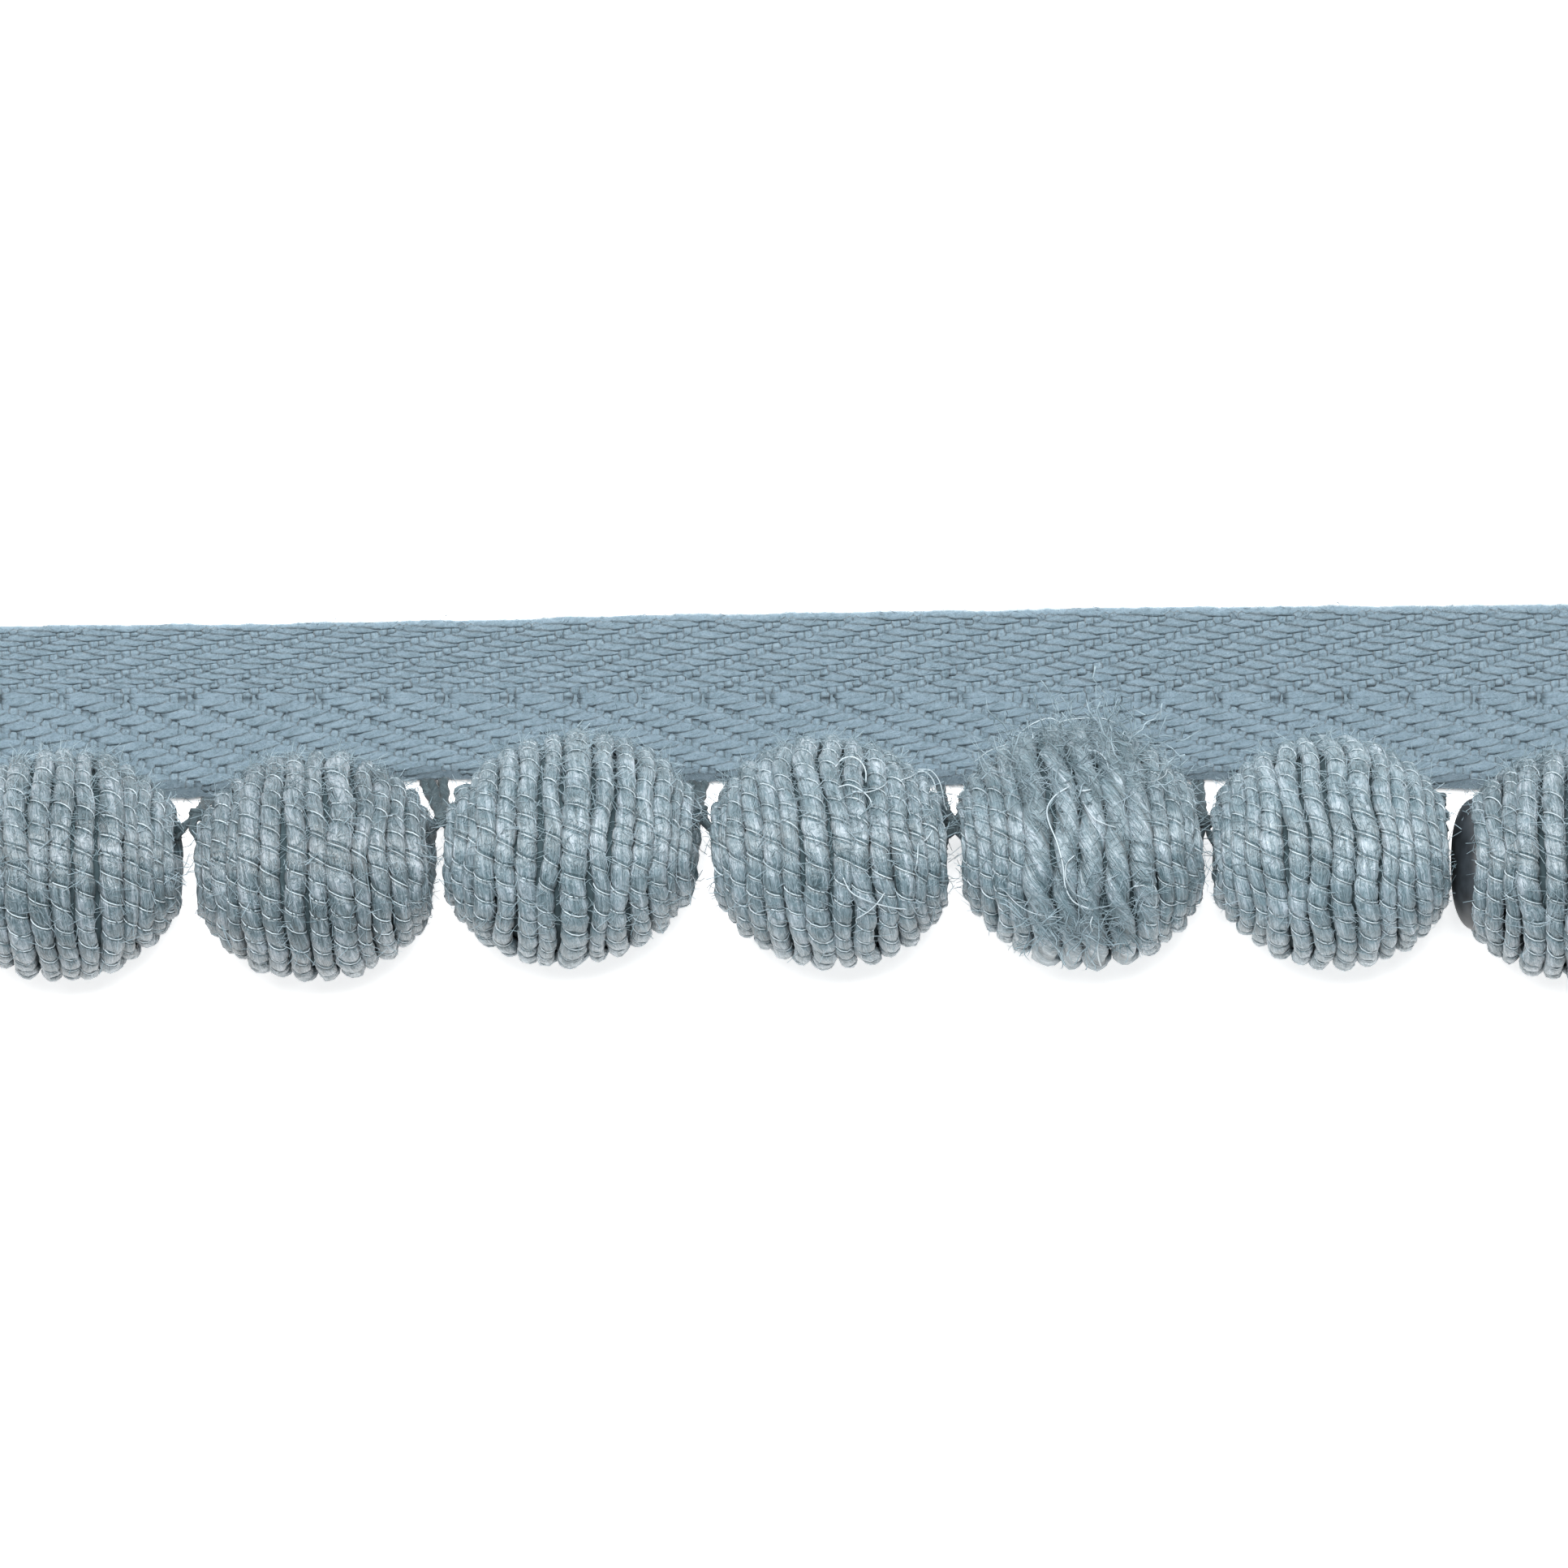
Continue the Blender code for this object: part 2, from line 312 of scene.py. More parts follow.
def welded(geometry):
    """Closes the tube's seam and its ends, where points meet exactly."""
    return output_of(geometry.tree, "GeometryNodeMergeByDistance", Geometry=geometry, Distance=WELD)


print("trees ready")

# %% [markdown]
# A fibre pattern must run along the cord however it is wound, so the material doesn't read the
# place in space. It reads a stored attribute: the same point on the cord pulled straight, with Z
# along it. Noise drawn out along Z gives fibres. The tape's yarns also store how deep in a pit, or
# how near the tape's lower edge, a point lies, and the material paints shade there: painted shade
# in the weave's small holes and along the lower edge.

# %% Materials
CORD_COLOURS = (0.020, 0.048, 0.060), (0.107, 0.161, 0.188), (0.305, 0.365, 0.415)
TAPE_DARK, TAPE_MIDDLE, TAPE_PALE = (0.120, 0.172, 0.203), (0.168, 0.232, 0.276), (0.207, 0.277, 0.328)
WEFT_PALE = (0.215, 0.287, 0.335)
# Link thread colours: the thread's own colour, darkened with painted shade, as the links lie in the gaps between
# the balls.
LINK_COLOURS = (0.022, 0.034, 0.039), (0.055, 0.078, 0.088), (0.12, 0.16, 0.175)
FIBRE_FINISHES = {
    # name: colours, roughness, sheen, then in millimetres hair width, hair length, patch length
    # and bump depth, then contrast, felting and how much light passes through
    "soft cotton yarn": ((TAPE_DARK, TAPE_MIDDLE, TAPE_PALE), 0.9, 0.15, 0.08, 1.0, 5, 0.06, 0.9, 1.4, 0.7),
    "loose weft yarn": ((TAPE_DARK, TAPE_MIDDLE, WEFT_PALE), 0.85, 0.15, 0.10, 1.5, 5, 0.08, 1.0, 1.4, 0.7),
    "twisted link thread": (LINK_COLOURS, 0.85, 0.1, 0.09, 1.2, 3, 0.06, 1.0, 0.5, 0.0),
}
SPECKLED_FINISHES = {
    # name: darkest, palest, roughness, scale of the speckles
    "pale binding thread": ((0.30, 0.37, 0.41), (0.50, 0.58, 0.62), 0.45, 250.0),
    "tape fuzz": (TAPE_MIDDLE, TAPE_PALE, 0.8, 300.0),
    "ground of the tape": ((0.105, 0.150, 0.178), (0.150, 0.207, 0.245), 0.95, 900.0),
    "dark core": ((0.006, 0.009, 0.012), (0.026, 0.034, 0.042), 0.55, 700.0),
    "loose fibre": ((0.07, 0.12, 0.14), (0.34, 0.44, 0.50), 0.5, 400.0),
    # The shaded core's dark colour is painted shade: the look of the gaps between a ball's turns.
    "shaded core": ((0.018, 0.036, 0.043), (0.038, 0.066, 0.077), 0.9, 500.0),
}
FLUFF_SIZE, SOFT_REACH = 0.4 * MM, 0.5 * MM
PATCH_WIDTH = MM / 0.3
# How much painted shade darkens the weave's small holes, and the tape's lower edge.
PIT_SHADE, EDGE_SHADE = 0.85, 0.45


def new_material(name, **finish):
    """A material, its tree and its shader, whose plain inputs are set by name."""
    material = bpy.data.materials.new(name)
    material.use_nodes = True
    shader = material.node_tree.nodes["Principled BSDF"]
    for label, value in finish.items():
        shader.inputs[label.replace("_", " ")].default_value = value
    return material, material.node_tree, shader


def attribute(tree, name):
    return Field(tree, node_of(tree, "ShaderNodeAttribute", attribute_name=name).outputs["Vector"])


def streaks(place, width, length, detail=1.0):
    """Noise drawn out along a straightened yarn."""
    scale = (1 / width, 1 / width, 1 / length)
    return noise(output_of(place.tree, "ShaderNodeMapping", Vector=place, Scale=scale), detail=detail)


def colours_by(factor, colours):
    """Blends evenly spaced colours by a factor from 0 to 1."""
    ramp = factor.tree.nodes.new("ShaderNodeValToRGB")
    feed(ramp.inputs[0], factor)
    stops = ramp.color_ramp.elements
    while len(stops) < len(colours):
        stops.new(0.5)
    for number, colour in enumerate(colours):
        stops[number].position = number / (len(colours) - 1)
        stops[number].color = (*colour, 1)
    return Field(factor.tree, ramp.outputs["Color"])


def paint(shader, colour, light):
    """Sets the shader's colour, dimmed or lit by a factor."""
    feed(shader.inputs["Base Color"], vector_math("MULTIPLY", colour, vector(light, light, light)))


def bump(tree, shader, height, distance):
    node = node_of(tree, "ShaderNodeBump", Height=height, Distance=distance, Strength=1.0)
    tree.links.new(node.outputs[0], shader.inputs["Normal"])


def object_place(tree):
    return Field(tree, tree.nodes.new("ShaderNodeTexCoord").outputs["Object"])


def fibre_material(name, colours, roughness, sheen, width, length, patch, depth, contrast, felt, soft):
    """Fibres along a straightened yarn in lighter and darker patches, felted by a noise in space.
    Painted shade darkens the weave's small holes and the tape's lower edge.
    """
    material, tree, shader = new_material(
        name, Roughness=roughness, Subsurface_Weight=soft, Subsurface_Radius=(1, 1, 1),
        Subsurface_Scale=SOFT_REACH, Sheen_Weight=sheen, Sheen_Roughness=0.4, Specular_IOR_Level=0.15)
    place = attribute(tree, "straight")
    width, length, patch, depth = width * MM, length * MM, patch * MM, depth * MM
    fluff = noise(object_place(tree), 1 / FLUFF_SIZE, detail=3.0) * felt
    hairs = streaks(place, width, length, 3.0)
    locks = streaks(place, width / 0.3, length / 0.4)
    patches = streaks(place, PATCH_WIDTH, patch, 2.0)
    tone = 0.5 + (hairs * 0.9 + locks * 0.8 + patches * 0.9 + fluff) * contrast
    # Painted shade: the first part darkens the weave's small holes, the second the tape's lower edge.
    pit, edge, _ = parts_of(attribute(tree, "pit"))
    lost_light = (pit * (PIT_SHADE + fluff)).at_least(0.0).at_most(PIT_SHADE)
    paint(shader, colours_by(tone, colours), 1 - lost_light - edge * EDGE_SHADE)
    bump(tree, shader, hairs + locks + fluff * 2, depth)
    return material


def silky_material():
    """The balls' cord: long fibres and stray ones, with painted shade in the groove of the binding thread."""
    material, tree, shader = new_material(
        "silky cord fibre", Roughness=0.52, Sheen_Weight=0.03, Sheen_Roughness=0.4, IOR=1.6,
        Specular_IOR_Level=1.0, Anisotropic=0.85, Anisotropic_Rotation=0.25)
    place = attribute(tree, "straight")
    along_groove, beside_groove, brightness = parts_of(attribute(tree, "pressed"))
    strength = (along_groove * along_groove + beside_groove * beside_groove + 0.01).math("SQRT")
    # Painted shade: the colour darkens in the thread's groove, which the bump also dents.
    groove_darkening_and_dent = nearness(1 - along_groove / strength, 0.0, 0.5)
    fibres = streaks(place, 0.15 * MM, 2.4 * MM, 3.0)
    reach = 1.2 * MM
    push = vector_math("MULTIPLY", push_of(place, 1 / (1.1 * MM), 1.0), (reach, reach, reach))
    stray = streaks(vector_math("ADD", place, push), 0.13 * MM, 1.2 * MM, 2.0)
    locks = streaks(place, 0.5 * MM, 6 * MM)
    patches = streaks(place, PATCH_WIDTH, 3.5 * MM, 2.0)
    variety = fibres * 1.3 + stray * 1.3 + locks + patches * 1.2 - groove_darkening_and_dent * 0.35
    tone = 0.5 + variety * (1.6 - brightness * 0.65)
    paint(shader, colours_by(tone, CORD_COLOURS), brightness)
    feed(shader.inputs["Tangent"], attribute(tree, "grain"))
    bump(tree, shader, fibres + stray + locks - groove_darkening_and_dent * 0.8, 0.16 * MM)
    return material


def speckled_material(name, low, high, roughness, scale):
    """A finish whose colour drifts a little from place to place."""
    material, tree, shader = new_material(name, Roughness=roughness)
    tone = 0.5 + noise(object_place(tree), scale) * 1.6
    feed(shader.inputs["Base Color"], colours_by(tone, (low, high)))
    return material


cord_material = silky_material()
yarn_material, weft_material, link_material = (
    fibre_material(name, *row) for name, row in FIBRE_FINISHES.items())
thread_material, tape_hair_material, ground_material, core_material, hair_material, inside_material = (
    speckled_material(name, *row) for name, row in SPECKLED_FINISHES.items())
print("materials:", [material.name for material in bpy.data.materials])

# %% [markdown]
# Each ball is one long cord wound side by side round an axis that runs along the tape. A spiral on
# a ball has a formula, so Geometry Nodes can make it: a flat grid is bent into a tube that follows
# it. Equal steps along the cord are equal steps in the sine of the latitude. Thick and thin turns
# come from a wave that spreads and swells the turns together.

# %% Ball sizes
CORD_RADIUS = 1.04 * MM
WOUND_HALF_ANGLE = math.radians(72)
TURNS = 15
TURN_ANGLE = 2 * WOUND_HALF_ANGLE / TURNS
LAST_LATITUDE = WOUND_HALF_ANGLE - TURN_ANGLE / 2
FRONT_BOW = 0.06
FLOOR_CLEARANCE = 0.09 * MM

# Degrees: the lean of the turns to the right at their top, and of the left side left bare. Spread
# widens the turns in the middle, and tone makes a ball paler or darker.
BALL_STYLES = {
    # node: lean, bare, slub, two ply, spread, tone, seed
    "ball_1": (1.0, 0, 0.12, 0.0, 0.3, 0.92, 1.0),
    "ball_2": (0.5, 0, 0.15, 0.0, 0.3, 0.88, 2.0),
    "ball_3": (4.0, 0, 0.16, 0.0, 0.3, 1.16, 3.0),
    "ball_4": (-2.5, 0, 0.10, 0.0, 0.3, 1.17, 4.0),
    "ball_5": (-3.0, 0, 0.10, 0.14, 0.6, 1.24, 5.0),
    "ball_6": (-2.0, 0, 0.10, 0.0, 0.3, 1.28, 6.0),
    "ball_7": (1.0, 14, 0.12, 0.0, 0.3, 1.06, 7.0),
}
BALL_INPUTS = {
    "Middle X": 0.0, "Middle Y": 0.0, "Middle Z": 12 * MM, "Radius": 12.4 * MM,
    "Half Length": 12.7 * MM, "Start Angle": -1.17, "End Angle": 1.17, "Lean": 0.0, "Slub": 0.1,
    "Two Ply": 0.0, "Spread": 0.0, "Tone": 1.0, "Seed": 1.0,
}
LEFT_OF_BARE = 12.9 * MM


def ball_values(name):
    """A ball's sizes, from the box of its plain solid."""
    lean, bare, slub, two_ply, spread, tone, seed = BALL_STYLES[name]
    low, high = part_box(name)
    radius = (high.y - low.y) / 2
    half_length = LEFT_OF_BARE if bare else (high.x - low.x) / 2
    return {
        "Middle X": high.x - half_length, "Middle Y": (high.y + low.y) / 2,
        "Middle Z": high.z - radius, "Radius": radius, "Half Length": half_length,
        "Start Angle": -LAST_LATITUDE + math.radians(bare), "End Angle": LAST_LATITUDE,
        "Lean": math.tan(math.radians(lean)), "Slub": slub, "Two Ply": two_ply,
        "Spread": spread, "Tone": tone, "Seed": seed,
    }


for name in BALL_STYLES:
    sizes = ball_values(name)
    print(name, {key: round(sizes[key] / MM, 2) for key in ("Radius", "Half Length")})

# %% [markdown]
# The cord and the thread round it follow the same spiral, so it is one function. It gives fields
# for the place along the cord, and a second function puts a point beside it.

# %% The spiral
SLOW_WAVE, QUICK_WAVE, QUICK_SHARE = 1.9, 3.1, 0.8
DRIFT = 0.85
LUMP_LENGTH, LUMP_SPREAD, LUMP_HEIGHT = 6 * MM, 0.35, 0.7
SWELL_POWER = 0.7
LOOSE_REACH = 2.4
THREAD_PITCH, WANDER_LENGTH, WANDER = 2.2 * MM, 9 * MM, 11


def spiral(given, along):
    """Fields that describe the wound cord at a share, from 0 to 1, of its length."""
    start, end, seed, slub = given.start_angle, given.end_angle, given.seed, given.slub
    reach = given.radius - CORD_RADIUS
    sine_start = sine(start)
    sine_span = sine(end) - sine_start
    latitude = (sine_start + along * sine_span).math("ARCSINE")
    turn = (latitude - start) / TURN_ANGLE
    angle = turn * TAU
    length = along * sine_span * reach * (TAU / TURN_ANGLE)
    slow = turn * SLOW_WAVE + seed * 1.7
    quick = turn * QUICK_WAVE + seed * 2.9
    swell = latitude * (math.pi / WOUND_HALF_ANGLE)
    widened = 1 + given.spread * cosine(swell) * (math.pi * TURN_ANGLE / WOUND_HALF_ANGLE)
    spacing = (1 + slub * (cosine(slow) + cosine(quick) * QUICK_SHARE)) * widened
    shift = slub * (sine(slow) * (1 / SLOW_WAVE) + sine(quick) * (QUICK_SHARE / QUICK_WAVE))
    shift = shift + given.spread * sine(swell)
    drift_place = vector(cosine(angle) * 1.4 + seed * 9, sine(angle) * 1.4, turn * 0.48)
    drift = noise(drift_place, detail=0.0) * DRIFT
    lumps = noise(vector(length / LUMP_LENGTH + seed * 31, 0.0, 0.0))
    loose = given.two_ply * (1 - (latitude * LOOSE_REACH).power(4.0)).at_least(0.0)
    return SimpleNamespace(
        latitude=latitude + (shift + drift) * TURN_ANGLE, angle=angle, length=length, loose=loose,
        spacing=spacing * (1 + lumps * LUMP_SPREAD),
        thickness=spacing.power(SWELL_POWER) * (1 + lumps * LUMP_HEIGHT))


def beside(given, path, outward_by, across_by):
    """The place that lies so far outwards and so far across from the middle of the cord."""
    reach_x = given.half_length / math.sin(LAST_LATITUDE) - CORD_RADIUS
    reach_r = given.radius - CORD_RADIUS
    sine_lat, cosine_lat = sine(path.latitude), cosine(path.latitude)
    x = reach_x * sine_lat + outward_by * sine_lat + across_by * cosine_lat
    r = reach_r * cosine_lat + outward_by * cosine_lat - across_by * sine_lat
    y, z = r * cosine(path.angle), r * sine(path.angle)
    bow = 1 + (z / given.radius).power(2.0) * FRONT_BOW
    high = (z + given.middle_z).at_least(FLOOR_CLEARANCE)
    return vector(given.middle_x + x * bow + given.lean * y, given.middle_y + y, high)


def thread_turn(given, path):
    """The angle round the cord of the thread that binds it, which keeps no even pitch."""
    place = vector(path.length / WANDER_LENGTH, given.seed * 5, 0.0)
    return path.length * (TAU / THREAD_PITCH) + noise(place) * WANDER


print("spiral ready")

# %% [markdown]
# The cord itself: the grid's second coordinate runs round the cord. Noise along it raises locks of
# fibre, and two lobes that turn along the cord give the loose two-ply strands of the fifth ball.
# Where the thread binds the cord, a groove is pressed into it.

# %% Wound cord
CORD_STEP = 0.62 * MM
CORD_SIDES = 14
SIDE_ROOM = 0.95
PINCH = 0.20
LOCK_WIDTH, LOCK_LENGTH = 1.8, 2.4 * MM
LOCK_RISE, PLY_LOCK_RISE = 0.5, 1.5
FIBRE_TWIST, LOCK_TWIST, PLY_TURN = 130.0, 260.0, TAU / (10.5 * MM)

cord_tree, given = new_tree("Wound cord", {**BALL_INPUTS, "Steps": 1200, "Sides": CORD_SIDES})
surface, along, around = tube_grid(given)
path = spiral(given, along)
length, loose = path.length, path.loose
turned = around * TAU
lock_turn = turned - length * LOCK_TWIST
lock_place = vector(
    cosine(lock_turn) * LOCK_WIDTH, sine(lock_turn) * LOCK_WIDTH, length / LOCK_LENGTH + given.seed * 17)
locks = 1 + noise(lock_place) * (LOCK_RISE + loose * PLY_LOCK_RISE)
ply_turned = turned - length * PLY_TURN
lobes = 1 + loose * cosine(ply_turned * 2)
is_loose = (loose * 20).at_most(1.0)
beside_thread = turned - thread_turn(given, path)
pinched = 1 - nearness(1 - cosine(beside_thread), 0.0, 0.7) * (1 - is_loose) * PINCH
shape = locks * lobes * pinched * closing(along, given.steps * 0.5)
out_radius = path.thickness * shape * CORD_RADIUS
side_radius = path.spacing * shape * (CORD_RADIUS * SIDE_ROOM)
twisted = turned - length * (FIBRE_TWIST + loose.above(0.02) * (PLY_TURN - FIBRE_TWIST))
straight = vector(cosine(twisted) * CORD_RADIUS, sine(twisted) * CORD_RADIUS, length)
print("wound cord:", len(cord_tree.nodes), "nodes so far")

# %% [markdown]
# The order matters. The grid's coordinates are gone once its points have moved, so the straight
# place is stored first and the bending comes last. A second attribute tells the material how far
# round a point is from the thread, or from a ply's groove, where it paints shade. It is kept as a
# cosine and a sine, because those pass smoothly through a full turn. The grain is the way the
# fibres run: silk shines in a band across its fibres.

# %% Store, bend, weld
beside_groove = beside_thread + loose.above(0.05) * (ply_turned * 2 + math.pi - beside_thread)
down = sine(path.angle)
kept = store(surface, "straight", straight)
kept = store(kept, "pressed", vector(cosine(beside_groove), sine(beside_groove), given.tone))
kept = store(kept, "grain", vector(down * given.lean * -1, down * -1, cosine(path.angle)))
bent = placed(kept, beside(given, path, out_radius * cosine(turned), side_radius * sine(turned)))
close_tree(welded(bent), given.material)


def cord_length(values):
    span = math.sin(values["End Angle"]) - math.sin(values["Start Angle"])
    return span * (values["Radius"] - CORD_RADIUS) * TAU / TURN_ANGLE


cords = {}
for name in BALL_STYLES:
    values = ball_values(name)
    values["Steps"] = int(cord_length(values) / CORD_STEP)
    cords[name] = run_tree(cord_tree, name + "_cord", values, cord_material)
    print(f"{name}: {cord_length(values) / MM:.0f} mm of cord")

# %% [markdown]
# A fine pale thread binds the cord: a line of points bent into a helix round the spiral. In places
# it sinks into the fibres and is lost for a moment, and it stops where the cord is loose.

# %% Binding thread
THREAD_RADIUS = 0.08 * MM
THREAD_STEPS = 11
LOST_LENGTH, LOST_DEPTH = 2.5 * MM, 0.3

thread_tree, given = new_tree("Binding thread", {**BALL_INPUTS, "Points": 4000})
line, along = point_line(given.points)
path = spiral(given, along)
turned = thread_turn(given, path)
hidden = noise(vector(path.length / LOST_LENGTH, given.seed * 3, 4.0))
loosened = (path.loose - 0.03).at_least(0.0).at_most(0.05)
sunk = 1 - loosened * 8 + (hidden + 0.10).at_most(0.0) * LOST_DEPTH
settled = sunk * (1 - PINCH * 0.6)
out_radius = (path.thickness * CORD_RADIUS + THREAD_RADIUS * 0.4) * settled
side_radius = (path.spacing * CORD_RADIUS * SIDE_ROOM + THREAD_RADIUS * 0.2) * settled
wound = placed(line, beside(given, path, out_radius * cosine(turned), side_radius * sine(turned)))
close_tree(thin_tube(wound, THREAD_RADIUS), given.material)

threads = {}
for name in BALL_STYLES:
    values = ball_values(name)
    values["Points"] = int(cord_length(values) / THREAD_PITCH * THREAD_STEPS)
    threads[name] = run_tree(thread_tree, name + "_thread", values, thread_material)

# %% [markdown]
# The tape is a herringbone twill ribbon, with fifteen warp yarns above its middle and fifteen
# below. Each passes over two wefts and under two, and its neighbour does the same one weft later,
# so the ribs climb away from the middle on both sides. That is a rule, so Geometry Nodes can weave
# it: copies of one straight tube are bent by a formula that knows their number.

# %% Weave sizes
TAPE_LENGTH = 185.6 * MM
BAND_ENDS = 15
NOMINAL_BAND = 9 * MM
END_WIDTH = NOMINAL_BAND / BAND_ENDS
WEFT_SPACING = 1.7 * MM
REPEAT = 4 * WEFT_SPACING
FACE_HEIGHT, DIP_DEPTH = 0.95 * MM, 0.26 * MM
FLATNESS = 0.85
WEFT_REACH = 0.975
WEFT_LOW, WEFT_RISE = 0.50 * MM, 0.455 * MM
DIP_START, DIP_END = 0.17, 0.25
FALL_START, FALL_END = 0.04, 0.27
PIT_PLACE, PIT_WIDTH = 0.205, 0.095
WARP_ROUND, WARP_TWIST = 0.4 * MM, 900.0
WEFT_ROUND, WEFT_PAIR = 0.7 * MM, 0.46


def flattened(field):
    """A sine whose crest is wider and flatter, for yarns that are pressed flat."""
    return field.math("SIGN") * field.size().power(FLATNESS)


def numbered_tubes(given, amount):
    """Copies of a flat tube. Each point knows its place on the tube and its copy's number."""
    surface, along, around = tube_grid(given)
    tree = surface.tree
    kept = store(surface, "coordinates", vector(along, around, 0.0))
    single = output_of(tree, "GeometryNodeGeometryToInstance", Geometry=kept)
    copies = node_of(
        tree, "GeometryNodeDuplicateElements", domain="INSTANCE", Geometry=single, Amount=amount)
    number = Field(tree, copies.outputs["Duplicate Index"])
    marked = store(Field(tree, copies.outputs["Geometry"]), "end", number, "FLOAT", "INSTANCE")
    real = output_of(tree, "GeometryNodeRealizeInstances", Geometry=marked)
    along, around, _ = parts_of(read(tree, "coordinates"))
    return real, read(tree, "end", "FLOAT"), along, around * TAU


def painted_hole_darkening(phase, end, seed):
    """Painted shade for the small hole just before a float begins. Chance makes some deep and closes others."""
    away = ((phase + 0.5).math("FRACT") - 0.5 - PIT_PLACE).size()
    chance = noise(vector(phase * 2.3, end * 1.7, seed), detail=0.0) * 3.5 + 0.8
    return nearness(away, 0.0, PIT_WIDTH) * chance.at_least(0.0).at_most(1.0)


print(f"{TAPE_LENGTH / WEFT_SPACING:.0f} wefts, a pattern repeat of {REPEAT / MM:.1f} mm")

# %% [markdown]
# A warp yarn swells and lies flat where it floats, and is pinched where it dips. It drifts across
# a little along each float, so the floats look like slanting lenses. The outermost yarn of each
# band hardly dips and is frayed.

# %% Warp yarns
warp_tree, given = new_tree("Warp yarns", {
    "Ends": BAND_ENDS, "Steps": 400, "Sides": 6, "Side": 1.0, "Tilt": 0.0,
    "Half Width": 0.45 * MM, "Half Height": 0.075 * MM, "Seed": 1.0})
copies, end, along, turned = numbered_tubes(given, given.ends)
seed, side = given.seed, given.side
x = (along - 0.5) * TAPE_LENGTH
uneven = noise(vector(x / (5 * MM), end * 7.3, seed * 11))
waver = noise(vector(x / (23 * MM), end * 3.1, seed * 5))
phase = x / REPEAT - end * 0.25 + uneven * 0.12
edge_yarn = end.above(BAND_ENDS - 1.5)
share = phase.math("FRACT") - 0.5
dip = nearness(share + 0.5, DIP_START, DIP_END).at_least(nearness(0.5 - share, FALL_START, FALL_END))
dip = dip * (1 - edge_yarn * 0.7)
crown = 1 - ((share - 0.06) * 3.0).power(2.0).at_most(1.0) * (1 - edge_yarn * 0.8)
drift = share * (1 - dip) * (1 - edge_yarn) * given.tilt * REPEAT
closed = closing(along, given.steps)
width = given.half_width * (0.60 + crown * 0.5 + uneven * 0.5) * closed
height = given.half_height * (0.9 + crown * 0.15 + uneven * 0.2) * closed
frayed = noise(vector(x / (1.3 * MM), end, seed)) * edge_yarn
middle_y = (end + 0.5 + waver * 0.5 + frayed * 0.7) * END_WIDTH * side + drift
middle_z = FACE_HEIGHT - dip * DIP_DEPTH - (1 - crown) * (0.04 * MM) + uneven * (0.05 * MM)
rough = 1 + noise(vector(x / (0.6 * MM), turned * (4.0 / TAU), end * 9.0)) * 0.45
twist = turned + x * WARP_TWIST
kept = store(copies, "straight", vector(
    cosine(twist) * WARP_ROUND + end * 0.01, sine(twist) * WARP_ROUND, x))
# Painted shade along the tape's lower edge: the last yarns of the lower band are darkened.
painted_edge_darkening = nearness(BAND_ENDS - end, 1.2, 3.2) * (side * -1).at_least(0.0)
# Stored for the material: painted shade in the small holes, and along the lower edge.
kept = store(kept, "pit", vector(painted_hole_darkening(phase, end, seed) * (1 - edge_yarn), painted_edge_darkening, 0.0))
bent = placed(kept, vector(
    x, middle_y + width * rough * cosine(turned), middle_z + height * rough * flattened(sine(turned))))
close_tree(welded(bent), given.material)

# %% [markdown]
# Each weft is a pair of soft threads that run straight across the tape. They lie under the floats
# and come up where two warp yarns dip below them, and show there as a small hatched patch.

# %% Weft yarns
weft_tree, given = new_tree("Weft yarns", {
    "Threads": 218, "Steps": 46, "Sides": 6, "Half Width": 0.52 * MM, "Half Height": 0.08 * MM})
copies, thread, along, turned = numbered_tubes(given, given.threads)
ends_out = (along - 0.5) * (2 * BAND_ENDS)
number = ends_out.size() - 0.5
weft = (thread * 0.5 + 0.001).math("FLOOR")
partner = thread - weft * 2 - 0.5
column = weft - (given.threads * 0.25 - 0.5)
phase = column * 0.25 - number * 0.25
raised = nearness(phase.math("PINGPONG", 0.5) * 4, 0.4, 1.3)
uneven = noise(vector(ends_out * 0.7, thread * 7.7, 0.0))
plies = (1 + cosine(turned * 3 + ends_out * 2.0) * 0.08) * closing(along, given.steps)
middle_z = WEFT_LOW + (raised + uneven * 0.2) * WEFT_RISE
half_width = given.half_width * plies * (1 + uneven * 0.3 + raised * 0.15)
half_height = given.half_height * plies
x = (column + partner * WEFT_PAIR) * WEFT_SPACING + uneven * (0.3 * MM)
kept = store(copies, "straight", vector(
    cosine(turned) * WEFT_ROUND + thread * 0.01, sine(turned) * WEFT_ROUND, ends_out * END_WIDTH))
# Painted shade for the wefts: darker in the small holes of the weave, and near the tape's lower edge.
pit = painted_hole_darkening(phase + partner * 0.115, number.math("ROUND"), 1.0)
kept = store(kept, "pit", vector(pit, nearness(ends_out + BAND_ENDS, 0.2, 2.2), 0.0))
bent = placed(kept, vector(
    x + half_width * cosine(turned), ends_out * (END_WIDTH * WEFT_REACH),
    middle_z + half_height * sine(turned)))
close_tree(welded(bent), given.material)

# %% [markdown]
# Real trim isn't woven to a ruler: its two edges wander. The weave is made as a straight ribbon
# first, and a small table of measured edges then stretches each band to its place.

# %% Edges
TAPE_SECTIONS = (
    # millimetres: along, lower edge, upper edge
    (-92.8, -9.6, 7.5), (-66.0, -10.4, 7.7), (-39.6, -8.5, 8.1), (-12.6, -8.8, 8.7),
    (13.9, -9.0, 9.1), (40.6, -8.6, 9.5), (67.0, -9.5, 9.7), (92.8, -9.2, 9.75),
)
LOWER_EDGE, UPPER_EDGE = (1, 0.4), (2, 1.9)  # column of the table, phase of the ripple
EDGE_RIPPLE, RIPPLE_SPANS, SHORT_SHARE = 0.05 * MM, (2.1 * MM, 1.3 * MM), 0.6


